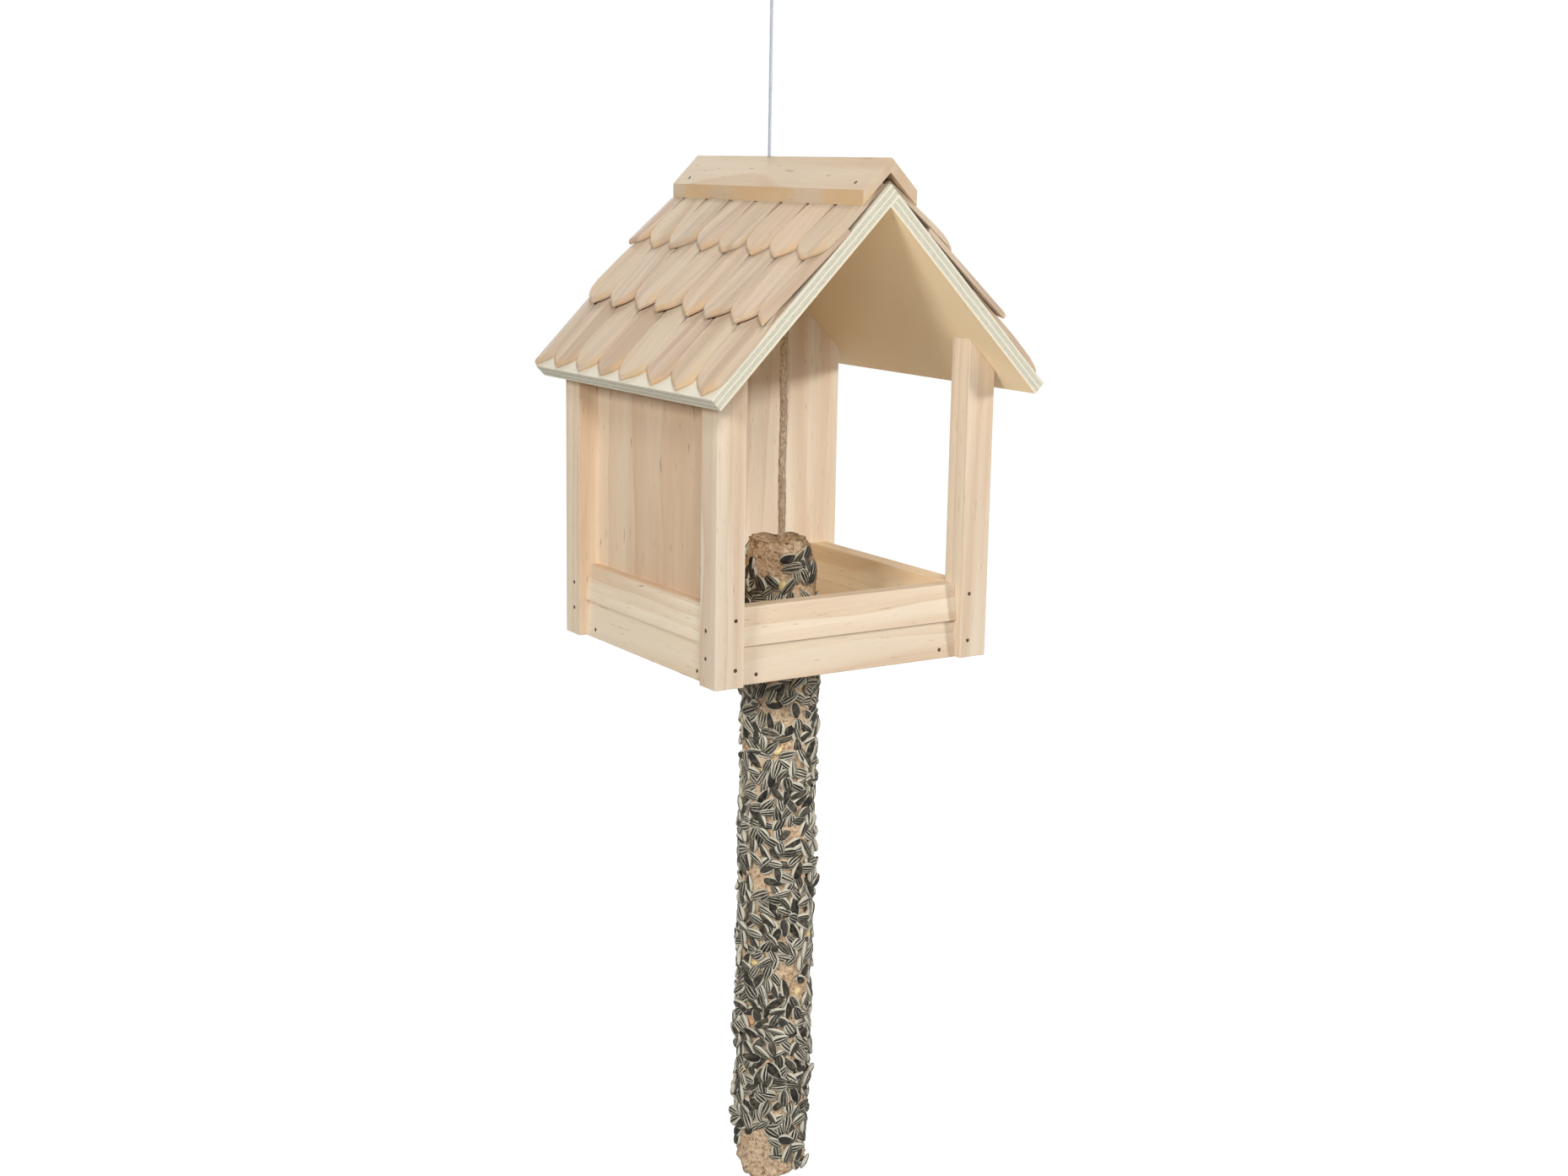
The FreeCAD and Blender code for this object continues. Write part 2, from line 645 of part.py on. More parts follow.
def maize_kernel():
    """Broken maize kernel: a wedge, broad at one end."""
    half_width = SEED_WIDTH / 2
    half_thickness = SEED_THICKNESS / 2
    belt = [
        Vector(half_width, 0.8 * half_width, 0),
        Vector(-half_width, 0.5 * half_width, 0),
        Vector(-half_width, -0.5 * half_width, 0),
        Vector(half_width, -0.8 * half_width, 0),
    ]
    crowns = []
    for side in (1, -1):
        crowns.append([Vector(end * half_width, 0, side * half_thickness) for end in (0.3, -0.3)])
    return faceted(belt, *crowns)


def seed_places():
    """Places of the seeds round the core, in staggered rings far enough apart for any turn of a seed."""
    radius = CORE_RADIUS + SEED_THICKNESS / 2 - SEED_SINK
    around = math.floor(2 * math.pi / (2 * math.asin(SEED_SPACING / 2 / radius)))
    step = 2 * math.pi / around
    side_step = 2 * radius * math.sin(step / 4)
    ring_rise = math.sqrt(SEED_SPACING ** 2 - side_step ** 2)
    room = STICK_LENGTH - 2 * SEED_END_MARGIN
    places = []
    for ring in range(math.floor(room / ring_rise) + 1):
        for seat in range(around):
            angle = (seat + ring % 2 / 2) * step
            outward = Vector(math.cos(angle), math.sin(angle), 0)
            height = STICK_TOP - SEED_END_MARGIN - ring * ring_rise
            number = len(places)
            flat = Rotation(Vector(0, 0, 1), outward)
            turn = Rotation(outward, number * SEED_TURN)
            places.append(Placement(Vector(0, HOOK_Y, height) + outward * radius, turn * flat))
    return places


def pressed_into_core(piece, wanted):
    """Copies of a piece at the seed places whose number is wanted."""
    copies = []
    for number, place in enumerate(seed_places()):
        if wanted(number):
            copies.append(piece.transformed(place.Matrix))
    return Part.makeCompound(copies)


def is_maize(number):
    """Every so many places hold a maize kernel."""
    return number % MAIZE_EVERY == MAIZE_EVERY // 2


def is_seed(number):
    """The other places hold a sunflower seed, but for the bare ones."""
    return not is_maize(number) and number % BARE_EVERY != 0


def save(name, shape):
    """Writes a node, moved so that the crown of the hanging loop is the origin."""
    bearing = loop_centre() + Vector(0, 0, LOOP_RADIUS - CABLE_DIAMETER / 2)
    shape.translated(-bearing).exportStep(os.path.join("parts", name + ".step"))
    print(name, "solids", len(shape.Solids), "volume", round(shape.Volume, 1), "valid", shape.isValid())


def main():
    os.makedirs("parts", exist_ok=True)
    for side_y, end_name in ((-1, "front"), (1, "rear")):
        for side_x, side_name in ((-1, "left"), (1, "right")):
            save(f"post_{end_name}_{side_name}", corner_post(side_x, side_y))
    for row, row_name in enumerate(("lower", "upper")):
        for side, name in ((-1, "front"), (1, "back")):
            save(f"{row_name}_board_{name}", end_board(side, row))
        for side, name in ((-1, "left"), (1, "right")):
            save(f"{row_name}_board_{name}", side_board(side, row))
    save("floor_panel", floor_panel())
    save("wall_left", left_wall())
    save("wall_back", back_wall())
    for side, name in ((-1, "left"), (1, "right")):
        save(f"roof_panel_{name}", roof_panel(side))
        for course, course_name in enumerate(("bottom", "middle", "top")):
            save(f"shingles_{name}_{course_name}", shingle_course(side, course))
    save("ridge_cap", ridge_cap())
    save("post_nails", post_nails())
    save("floor_nails", floor_nails())
    save("roof_nails", roof_nails())
    save("cap_nails", cap_nails())
    save("stop_washer", stop_washer())
    save("stop_sleeve", stop_sleeve())
    save("suspension_cable", suspension_cable())
    save("loop_sleeve", loop_sleeve())
    save("hanging_loop", hanging_loop())
    save("screw_hook", screw_hook())
    save("jute_eye", jute_eye())
    save("jute_knot", jute_knot())
    save("jute_cord", jute_cord())
    save("stick_core", stick_core())
    save("sunflower_seeds", pressed_into_core(sunflower_seed(), is_seed))
    save("maize_kernels", pressed_into_core(maize_kernel(), is_maize))
    print("bend radii: loop", LOOP_RADIUS, "hook", HOOK_RADIUS, "eye", EYE_RADIUS)


main()
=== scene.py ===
import math
import random

import bmesh
import bpy
from mathutils import Matrix, Vector, noise


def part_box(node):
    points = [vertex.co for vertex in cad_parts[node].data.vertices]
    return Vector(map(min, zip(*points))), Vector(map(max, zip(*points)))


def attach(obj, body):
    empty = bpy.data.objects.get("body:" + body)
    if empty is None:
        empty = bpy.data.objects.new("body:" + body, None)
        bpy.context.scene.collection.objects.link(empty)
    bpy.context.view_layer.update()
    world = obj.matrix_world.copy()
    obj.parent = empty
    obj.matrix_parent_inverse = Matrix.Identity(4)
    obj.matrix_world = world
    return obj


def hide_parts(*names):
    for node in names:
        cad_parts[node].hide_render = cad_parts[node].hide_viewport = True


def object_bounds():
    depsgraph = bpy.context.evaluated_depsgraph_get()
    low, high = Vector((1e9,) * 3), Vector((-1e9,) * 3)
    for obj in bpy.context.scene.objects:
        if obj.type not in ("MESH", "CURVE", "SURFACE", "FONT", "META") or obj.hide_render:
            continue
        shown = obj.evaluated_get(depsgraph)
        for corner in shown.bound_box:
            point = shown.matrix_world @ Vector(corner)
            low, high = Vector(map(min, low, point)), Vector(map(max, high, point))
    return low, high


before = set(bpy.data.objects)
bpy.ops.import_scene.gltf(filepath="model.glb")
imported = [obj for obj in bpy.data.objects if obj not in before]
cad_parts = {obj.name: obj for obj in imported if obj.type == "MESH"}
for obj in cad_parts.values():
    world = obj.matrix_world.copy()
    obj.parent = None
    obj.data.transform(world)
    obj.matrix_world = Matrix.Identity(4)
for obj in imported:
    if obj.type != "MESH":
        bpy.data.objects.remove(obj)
cad_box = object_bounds()

# The camera, where the photographer stood: left of the open front and a little above the tray,
# looking down on it with a lens of about 49 mm and the horizon slightly off level.
IMAGE_WIDTH = 1857
FOCAL_PIXELS = 2506.6
SENSOR_WIDTH = 36.0
NEAREST_SEEN = 0.01
CAMERA_PLACE = Vector((-0.7216, -1.1391, -0.1497))
CAMERA_HEADING = math.radians(-32.94)
CAMERA_DROP = math.radians(11.31)
CAMERA_ROLL = math.radians(1.0)


def in_scene(name, data):
    """A new object of the scene that holds the data."""
    made = bpy.data.objects.new(name, data)
    bpy.context.collection.objects.link(made)
    return made


lens = bpy.data.cameras.new("photo_camera")
lens.sensor_width = SENSOR_WIDTH
lens.lens = FOCAL_PIXELS / IMAGE_WIDTH * SENSOR_WIDTH
lens.clip_start = NEAREST_SEEN
ahead = Vector((
    -math.sin(CAMERA_HEADING) * math.cos(CAMERA_DROP),
    math.cos(CAMERA_HEADING) * math.cos(CAMERA_DROP),
    -math.sin(CAMERA_DROP),
))
level_right = Vector((math.cos(CAMERA_HEADING), math.sin(CAMERA_HEADING), 0))
level_up = level_right.cross(ahead)
right = level_right * math.cos(CAMERA_ROLL) + level_up * math.sin(CAMERA_ROLL)
up = level_up * math.cos(CAMERA_ROLL) - level_right * math.sin(CAMERA_ROLL)
turn = Matrix((right, up, -ahead)).transposed().to_4x4()
camera = in_scene("photo_camera", lens)
camera.matrix_world = Matrix.Translation(CAMERA_PLACE) @ turn
bpy.context.scene.camera = camera
bpy.context.scene.view_settings.view_transform = "Standard"


# Pine boards: posts, lap boards, walls, floor and ridge cap, planed and left untreated. The grain runs along
# each board, cut out of a log whose rings lie round a pith somewhere beside it, and the edges are eased.
PINE_EASE = 0.0005
PANEL_EASE = 0.00015
RING_SPACING = 0.0075
CAP_BAND = 0.009
CAP_BAND_CUT = 0.9
WOOD_ROUGHNESS = 0.62
SAME_POINT = 1e-6
FLAT_ANGLE = 0.02
SHARP_ANGLE = 0.35
X_AXIS, Y_AXIS, Z_AXIS = Vector((1, 0, 0)), Vector((0, 1, 0)), Vector((0, 0, 1))


class Flow:
    """What comes out of a node. Sums with it add Math nodes, and a key gives the node's other outputs."""

    def __init__(self, node, output=0):
        self.node, self.tree, self.socket = node, node.id_data, node.outputs[output]

    def __getitem__(self, output):
        return Flow(self.node, output)

    def math(self, operation, *others):
        return add(self.tree, "ShaderNodeMath", dict(enumerate((self, *others))), operation=operation)

    def vector(self, operation, other=(0, 0, 0), output=0):
        return add(self.tree, "ShaderNodeVectorMath", {0: self, 1: other}, output, operation=operation)

    def scaled(self, size):
        return add(self.tree, "ShaderNodeVectorMath", {0: self, "Scale": size}, operation="SCALE")

    def axis(self, letter):
        return add(self.tree, "ShaderNodeSeparateXYZ", {"Vector": self}, letter)

    def __add__(self, other):
        return self.math("ADD", other)

    def __sub__(self, other):
        return self.math("SUBTRACT", other)

    def __rsub__(self, other):
        return add(self.tree, "ShaderNodeMath", {0: other, 1: self}, operation="SUBTRACT")

    def __mul__(self, other):
        return self.math("MULTIPLY", other)

    def __truediv__(self, other):
        return self.math("DIVIDE", other)


def add(tree, kind, inputs=None, output=0, **settings):
    """Adds a node with its settings and its inputs by name or number. Returns the flow out of it."""
    node = tree.nodes.new(kind)
    for name, value in settings.items():
        setattr(node, name, value)
    for key, value in (inputs or {}).items():
        if isinstance(value, Flow):
            tree.links.new(value.socket, node.inputs[key])
        else:
            node.inputs[key].default_value = value
    return Flow(node, output)


def new_tree(name, kind, outputs, **inputs):
    """A node tree with its sockets, listed by their kind. Returns it, the flow into it and its end node."""
    tree = bpy.data.node_groups.new(name, kind)
    for in_out, sockets in (("INPUT", inputs), ("OUTPUT", outputs)):
        for socket_kind, names in sockets.items():
            for socket in names:
                tree.interface.new_socket(socket, in_out=in_out, socket_type="NodeSocket" + socket_kind)
    return tree, Flow(tree.nodes.new("NodeGroupInput")), tree.nodes.new("NodeGroupOutput")


def mixed(share, first, second, mode="MIX"):
    """A mix of two colours by a share, each of them a flow or a plain value."""
    tree = next(value.tree for value in (share, first, second) if isinstance(value, Flow))
    return add(tree, "ShaderNodeMix", {0: share, 6: first, 7: second}, 2, data_type="RGBA", blend_type=mode)


def ramp(value, *stops):
    """A grey ramp through stops of place and level."""
    made = add(value.tree, "ShaderNodeValToRGB", {"Fac": value})
    elements = made.node.color_ramp.elements
    while len(elements) < len(stops):
        elements.new(0.5)
    for element, (place, level) in zip(elements, stops):
        element.position = place
        element.color = (level, level, level, 1)
    return made


def streaks(place, scale, detail=2.0):
    """Noise stretched by a scale on each axis, in patches to the metre."""
    stretched = add(place.tree, "ShaderNodeMapping", {"Vector": place, "Scale": scale})
    return add(place.tree, "ShaderNodeTexNoise", {"Vector": stretched, "Scale": 1.0, "Detail": detail})


def attribute(tree, name, output):
    """A value that the mesh carries for each point."""
    return add(tree, "ShaderNodeAttribute", output=output, attribute_name=name)


def bumped(height, strength, distance):
    """The normal of a surface with a height."""
    return add(height.tree, "ShaderNodeBump", {"Strength": strength, "Distance": distance, "Height": height})


def srgb(*levels):
    """A colour given in the usual 0 to 255 scale, as the linear colour that sockets take."""
    shares = [level / 255 for level in levels]
    return (*(share / 12.92 if share <= 0.04045 else ((share + 0.055) / 1.055) ** 2.4 for share in shares), 1)


def new_material(name, roughness, specular=0.25, metallic=0.0):
    """A material with the constants of its surface set. Returns it, its tree and its shader."""
    material = bpy.data.materials.new(name)
    material.use_nodes = True
    shader = material.node_tree.nodes["Principled BSDF"]
    for socket, value in (("Roughness", roughness), ("Specular IOR Level", specular), ("Metallic", metallic)):
        shader.inputs[socket].default_value = value
    return material, material.node_tree, shader


def lead_in(shader, **flows):
    """Leads flows into a shader's inputs, such as base_color, roughness and normal."""
    for name, flow in flows.items():
        flow.tree.links.new(flow.socket, shader.inputs[name.replace("_", " ").title()])


def wood_grain_group():
    """Shader group of sawn wood. Grain is a place in the log in metres, with the fibres along Z."""
    marks = ["Rings", "Bands", "Fibre", "Cloud", "Flecks"]
    tree, given, result = new_tree(
        "wood_grain", "ShaderNodeTree", {"Float": marks}, Vector=["Grain"], Float=["Spacing"]
    )
    grain = given["Grain"]
    wander = streaks(grain, (26, 26, 4)) - 0.5
    radius = grain.vector("MULTIPLY", (1, 1, 0)).vector("LENGTH", output="Value")
    phase = ((radius + wander * 0.016) / given["Spacing"]).math("FRACT")
    rings = ramp(phase, (0.0, 0.05), (0.5, 0.3), (0.84, 0.7), (0.95, 1.0), (1.0, 0.05))
    faded = ramp(streaks(grain, (60, 60, 2.5), 1.0), (0.35, 0.25), (0.62, 1.0))
    bands = ramp(streaks(grain, (75, 75, 1.8), 3.0), (0.44, 0.0), (0.62, 1.0))
    fibre = streaks(grain, (1500, 1500, 40), 3.0)
    cloud = ramp(streaks(grain, (16, 16, 3)), (0.35, 0.0), (0.7, 1.0))
    flecks = ramp(streaks(grain, (1300, 1300, 70), 1.0), (0.7, 0.0), (0.8, 1.0))
    for mark, flow in zip(marks, (rings * faded, bands, fibre, cloud, flecks)):
        tree.links.new(flow.socket, result.inputs[mark])
    return tree


wood_grain = wood_grain_group()


def wood_material(name, pale, warm, late, fleck, cut, ring_share, band_share, fleck_share):
    """Bare wood: pale early wood with warmer clouds, darker bands and rings, resin flecks, and cut ends."""
    material, tree, shader = new_material(name, WOOD_ROUGHNESS)
    place = attribute(tree, "grain", "Vector")
    grain = add(tree, "ShaderNodeGroup", {"Grain": place, "Spacing": RING_SPACING}, node_tree=wood_grain)
    colour = mixed(grain["Cloud"], pale, warm)
    colour = mixed(grain["Bands"] * band_share, colour, late)
    colour = mixed(grain["Rings"] * ring_share, colour, late)
    colour = mixed(0.8, colour, ramp(grain["Fibre"], (0.3, 0.93), (0.7, 1.0)), "MULTIPLY")
    colour = mixed(grain["Flecks"] * fleck_share, colour, fleck)
    smudges = ramp(streaks(place, (90, 90, 30)), (0.4, 0.1), (0.58, 1.0))
    colour = mixed(attribute(tree, "cut", "Fac") * smudges, colour, cut)
    colour = mixed(1.0, colour, attribute(tree, "tone", "Color"), "MULTIPLY")
    height = grain["Fibre"] + grain["Rings"] * 0.3
    lead_in(shader, base_color=colour, normal=bumped(height, 0.3, 0.00018))
    return material


pine = wood_material(
    "planed_pine",
    pale=srgb(246, 231, 206),
    warm=srgb(243, 224, 198),
    late=srgb(222, 191, 158),
    fleck=srgb(146, 116, 88),
    cut=srgb(238, 202, 154),
    ring_share=0.75,
    band_share=0.75,
    fleck_share=0.7,
)


def finish_piece(name, mesh, material, body, nodes):
    """Puts a finished mesh in the scene as a piece that rides on a body and stands for CAD nodes."""
    piece = in_scene(name, mesh)
    mesh.name = name
    mesh.materials.clear()
    mesh.materials.append(material)
    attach(piece, body)
    if nodes:
        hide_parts(*nodes)
    return piece


def merged_copy(node):
    """A CAD node's solids with their points merged, to be worked on."""
    shape = bmesh.new()
    shape.from_mesh(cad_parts[node].data)
    bmesh.ops.remove_doubles(shape, verts=shape.verts, dist=SAME_POINT)
    return shape


def closed_mesh(name, shape):
    """Turns a closed shape's faces outwards and makes it a mesh."""
    bmesh.ops.recalc_face_normals(shape, faces=shape.faces)
    mesh = bpy.data.meshes.new(name)
    shape.to_mesh(mesh)
    shape.free()
    return mesh


def eased_copy(node, ease, segments=2):
    """A copy of a node's solid with its sharp edges rounded off."""
    shape = merged_copy(node)
    bmesh.ops.dissolve_limit(shape, angle_limit=FLAT_ANGLE, verts=shape.verts, edges=shape.edges)
    paired = [edge for edge in shape.edges if len(edge.link_faces) == 2]
    sharp = [edge for edge in paired if edge.calc_face_angle() > SHARP_ANGLE]
    bmesh.ops.bevel(
        shape, geom=sharp, offset=ease, segments=segments, profile=0.5, affect="EDGES", clamp_overlap=True
    )
    return closed_mesh(node, shape)


def carry(mesh, name, kind, values):
    """Gives each point of a mesh its value under a name, for materials and node trees to read."""
    field = {"FLOAT": "value", "FLOAT_VECTOR": "vector", "FLOAT_COLOR": "color"}[kind]
    for item, value in zip(mesh.attributes.new(name, kind, "POINT").data, values):
        setattr(item, field, value)


def lay_grain(mesh, along, across, pith, lean, spread, tone):
    """Writes each point's place in the log, with fibres along one direction, and the board's tone, partly its
    own colour and partly painted light.
    """
    third = along.cross(across)
    places = []
    for point in mesh.vertices:
        run = point.co.dot(along)
        places.append((
            (point.co.dot(across) + lean[0] * run) * spread + pith[0],
            (point.co.dot(third) + lean[1] * run) * spread + pith[1],
            run + pith[2],
        ))
    carry(mesh, "grain", "FLOAT_VECTOR", places)
    carry(mesh, "tone", "FLOAT_COLOR", [(*tone, 1)] * len(places))


# Each board's tone is partly its own colour and partly painted light: the boards inside the house are made
# paler to stand in for light in the shaded interior, and the boards that face the lamps, the front boards,
# left wall and ridge cap, are made darker.
board_runs = {
    "post_front_left": (Z_AXIS, X_AXIS, (0.78, 0.76, 0.76)),
    "post_front_right": (Z_AXIS, Y_AXIS, (0.84, 0.84, 0.85)),
    "post_rear_left": (Z_AXIS, Y_AXIS, (0.88, 0.87, 0.86)),
    "post_rear_right": (Z_AXIS, X_AXIS, (1.03, 1.08, 1.14)),
    "lower_board_front": (X_AXIS, Z_AXIS, (0.80, 0.77, 0.75)),
    "lower_board_back": (X_AXIS, Z_AXIS, (0.90, 0.89, 0.88)),
    "lower_board_left": (Y_AXIS, Z_AXIS, (0.88, 0.87, 0.86)),
    "lower_board_right": (Y_AXIS, Z_AXIS, (1.10, 1.12, 1.08)),
    "upper_board_front": (X_AXIS, Z_AXIS, (0.88, 0.88, 0.88)),
    "upper_board_back": (X_AXIS, Z_AXIS, (1.03, 1.06, 1.08)),
    "upper_board_left": (Y_AXIS, Z_AXIS, (0.91, 0.91, 0.90)),
    "upper_board_right": (Y_AXIS, Z_AXIS, (1.14, 1.16, 1.10)),
    "floor_panel": (X_AXIS, Y_AXIS, (1.04, 1.06, 1.06)),
    "wall_left": (Z_AXIS, Y_AXIS, (0.81, 0.76, 0.72)),
    "wall_back": (Z_AXIS, X_AXIS, (1.03, 1.08, 1.14)),
    "ridge_cap": (Y_AXIS, X_AXIS, (0.70, 0.68, 0.66)),
}
USUAL_GROWTH = 0.85
slow_grown = {"wall_left": 0.22, "wall_back": 0.6, "floor_panel": 0.5, "ridge_cap": 0.4}
log_yard = random.Random(11)
for node, (along, across, tone) in board_runs.items():
    mesh = eased_copy(node, PANEL_EASE if node.startswith(("wall", "post_rear")) else PINE_EASE)
    pith = (log_yard.uniform(0.2, 0.5), log_yard.uniform(0.05, 0.3), log_yard.uniform(0, 40))
    lean = (log_yard.uniform(-0.03, 0.03), log_yard.uniform(-0.04, 0.04))
    lay_grain(mesh, along, across, pith, lean, slow_grown.get(node, USUAL_GROWTH), tone)
    if node == "ridge_cap":
        band_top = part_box(node)[0].z + CAP_BAND - PINE_EASE * 0.3
        on_band = [CAP_BAND_CUT if point.co.z < band_top else 0.0 for point in mesh.vertices]
        carry(mesh, "cut", "FLOAT", on_band)
    finish_piece(node + "_pine", mesh, pine, "house", [node])


# Wire nails that hold the boards on the posts, the floor, the roof and the cap: bright steel gone brown, with
# flat round heads driven flush, so each shows as a small dark dot.
NAIL_SIDES = 14
NAIL_POINT = 0.002
AXIS_ROUNDS = 12


def islands(node):
    """The corner points of each separate solid in a node."""
    shape = merged_copy(node)
    reached, groups = set(), []
    for first in shape.verts:
        if first in reached:
            continue
        reached.add(first)
        group = [first]
        for corner in group:
            for edge in corner.link_edges:
                other = edge.other_vert(corner)
                if other not in reached:
                    reached.add(other)
                    group.append(other)
        groups.append([corner.co.copy() for corner in group])
    shape.free()
    return groups


def nail_line(points):
    """Head centre, direction of the shank, length and head radius of a nail, from its corner points."""
    middle = sum(points, Vector()) / len(points)
    spokes = [point - middle for point in points]
    axis = max(spokes, key=lambda spoke: spoke.length).normalized()
    for _ in range(AXIS_ROUNDS):
        axis = sum((spoke * spoke.dot(axis) for spoke in spokes), Vector()).normalized()
    wide = max(spokes, key=lambda spoke: (spoke - axis * spoke.dot(axis)).length)
    if wide.dot(axis) > 0:
        axis = -axis
    reach = [spoke.dot(axis) for spoke in spokes]
    radius = (wide - axis * wide.dot(axis)).length
    return middle + axis * min(reach), axis, max(reach) - min(reach), radius


def bearings(count):
    """Angles that go once round in equal steps."""
    return [2 * math.pi * step / count for step in range(count)]


def nail_rings(head, axis, length, radius):
    """Rings of a round nail: a slightly domed head, a neck, and a shank cut to a point."""
    profile = [
        (0.00002, radius * 0.35), (0.00008, radius * 0.8), (0.00025, radius), (0.0006, radius),
        (0.0009, radius * 0.5), (length - NAIL_POINT, radius * 0.5), (length, radius * 0.08),
    ]
    side = axis.orthogonal().normalized()
    other = axis.cross(side)
    spokes = [side * math.cos(angle) + other * math.sin(angle) for angle in bearings(NAIL_SIDES)]
    return [[head + axis * depth + spoke * reach for spoke in spokes] for depth, reach in profile]


def lofted(name, shells):
    """A mesh skinned over shells, each a list of rings of points, with a cap on an end that isn't a point."""
    shape = bmesh.new()
    for shell in shells:
        rings = [[shape.verts.new(point) for point in ring] for ring in shell]
        for near, far in zip(rings, rings[1:]):
            count = max(len(near), len(far))
            for step in range(count):
                pair = (step, (step + 1) % count)
                corners = [near[place % len(near)] for place in pair]
                corners += [far[place % len(far)] for place in reversed(pair)]
                shape.faces.new(list(dict.fromkeys(corners))).smooth = True
        for ring in (rings[0], rings[-1]):
            if len(ring) > 1:
                shape.faces.new(ring)
    return closed_mesh(name, shape)


def object_place(tree):
    """The place of a point in the part's own frame."""
    return add(tree, "ShaderNodeTexCoord", output="Object")


nail_steel, tree, shader = new_material("nail_steel", 0.6, 0.4, 0.35)
rust = ramp(streaks(object_place(tree), (700, 700, 700), 3.0), (0.38, 0.0), (0.62, 1.0))
lead_in(
    shader, base_color=mixed(rust, srgb(84, 66, 52), srgb(52, 36, 26)),
    roughness=ramp(rust, (0.0, 0.38), (1.0, 0.75)),
)
for node in ("post_nails", "floor_nails", "roof_nails", "cap_nails"):
    mesh = lofted(node, [nail_rings(*nail_line(points)) for points in islands(node)])
    finish_piece(node + "_wire", mesh, nail_steel, "house", [node])


# Plywood roof panels: five plies, cream face veneers and greener crossed plies that show at the cut edges.
# They are nailed on the posts, the left one lapping over the right one, and their upper face is painted dark
# under the shingles, as painted shade in the gaps between the shingles.
PLYWOOD_EASE = 0.0003
PLYWOOD_THICKNESS = 0.009
PLIES = 5
ROOF_PITCH = math.radians(45)
roof_low, roof_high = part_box("roof_panel_left")
ROOF_FRONT, ROOF_BACK = roof_low.y, roof_high.y
ROOF_MIDDLE = (ROOF_FRONT + ROOF_BACK) / 2
RIDGE = Vector((0, 0, roof_high.z))
SLOPE_LENGTH = -roof_low.x / math.cos(ROOF_PITCH)
SLOPES = ((-1, "left"), (1, "right"))

plywood, tree, shader = new_material("plywood", 0.6)
place = attribute(tree, "grain", "Vector")
down_slope, depth = place.axis("X"), place.axis("Z")
figure = streaks(place, (14, 260, 12), 4.0)
wander = (streaks(place, (300, 300, 2), 3.0) - 0.5) * 0.1
inner = ramp(depth, (0.0, 0.0), (0.04, 0.0), (0.12, 1.0), (0.88, 1.0), (0.96, 0.0))
layer = (depth + wander * inner).math("MINIMUM", 0.995) * PLIES
crossed = layer.math("FLOOR").math("MODULO", 2.0)
within = (layer.math("FRACT") - 0.5).math("ABSOLUTE")
glue = ramp(within, (0.36, 0.0), (0.46, 1.0)) * inner
pores = ramp(streaks(place, (900, 900, 60), 2.0), (0.42, 0.0), (0.6, 1.0))
# The underside veneer is a paler, warmer cream than the upper face, partly its own colour and partly painted
# light that brightens the roof's shaded underside.
veneer = mixed(ramp(depth, (0.965, 0.0), (0.99, 1.0)), srgb(218, 211, 192), srgb(250, 228, 188))
end_grain = mixed(pores, srgb(205, 203, 183), srgb(179, 175, 152))
plies = mixed(crossed * 0.9, veneer, end_grain)
glued = mixed(glue * ramp(pores, (0.0, 0.25), (1.0, 0.75)), plies, srgb(140, 134, 114))
# Painted shade: the upper face under the shingles, away from the front and back edges, is dark brown, so that
# the gaps between the shingles look shaded.
roofed = ramp(down_slope * 5.0, (0.71, 1.0), (0.75, 0.0))
from_middle = (object_place(tree).axis("Y") - ROOF_MIDDLE).math("ABSOLUTE")
sheltered = ramp(from_middle * 5.0, (0.48, 1.0), (0.52, 0.0))
painted_shade_under_shingles = roofed * sheltered * ramp(depth, (0.005, 0.9), (0.03, 0.0))
plywood_with_painted_shade = mixed(painted_shade_under_shingles, glued, srgb(78, 50, 34))
fine = ramp(figure, (0.3, 0.97), (0.7, 1.0))
lead_in(shader, base_color=mixed(0.9, plywood_with_painted_shade, fine, "MULTIPLY"), normal=bumped(figure, 0.2, 0.00015))


def slope_directions(side):
    """Down a slope, and out of it. Side is -1 for the left slope and 1 for the right one."""
    down = Vector((side * math.cos(ROOF_PITCH), 0, -math.sin(ROOF_PITCH)))
    out = Vector((side * math.sin(ROOF_PITCH), 0, math.cos(ROOF_PITCH)))
    return down, out


for side, name in SLOPES:
    node = f"roof_panel_{name}"
    mesh = eased_copy(node, PLYWOOD_EASE)
    down, out = slope_directions(side)
    places = []
    for point in mesh.vertices:
        reach = point.co - RIDGE
        sunk = -reach.dot(out) / PLYWOOD_THICKNESS
        places.append((reach.dot(down), point.co.y + 3 * side, min(max(sunk, 0.0), 1.0)))
    carry(mesh, "grain", "FLOAT_VECTOR", places)
    finish_piece(node + "_plywood", mesh, plywood, "house", [node])


# Shingles: leaf-shaped slips split from pine, three courses on each slope, each course over the heads of the
# one below and half a shingle along from it. The points are whittled thin and show warmer end grain.
SHINGLE_THICKNESS = 0.003
SHINGLE_POINT = 0.0115
SHINGLE_BULGE = 0.00345
SHINGLE_EXPOSURE = 0.0503
SHINGLE_HEAD_LAP = 0.0275
SHINGLE_SIDE_LAP = 0.0005
SHINGLE_CLOSE = 0.0095
HEAD_NARROWING = 0.14
SHINGLE_SEAT_GAP = 0.00005
SHINGLES_ACROSS = 7.5
TIP_HALF_WIDTH = 0.0006
WHITTLED_OFF = 0.0017
WHITTLED_FROM, WHITTLED_OVER = 0.006, 0.012
SMUDGED_FROM, SMUDGED_OVER = 0.018, 0.026
SMUDGE = 0.8
SKEW_CURVE = 1.4
UNDERSIDE_NARROWING = 0.95
FACET_SAWN, FACET_WHITTLED = 0.0004, 0.0030
CUT_MARGIN = 0.012
FINE_GROWN = 1.3
EAVE_MARGIN = 0.0006
RIDGE_SETBACK = 0.002
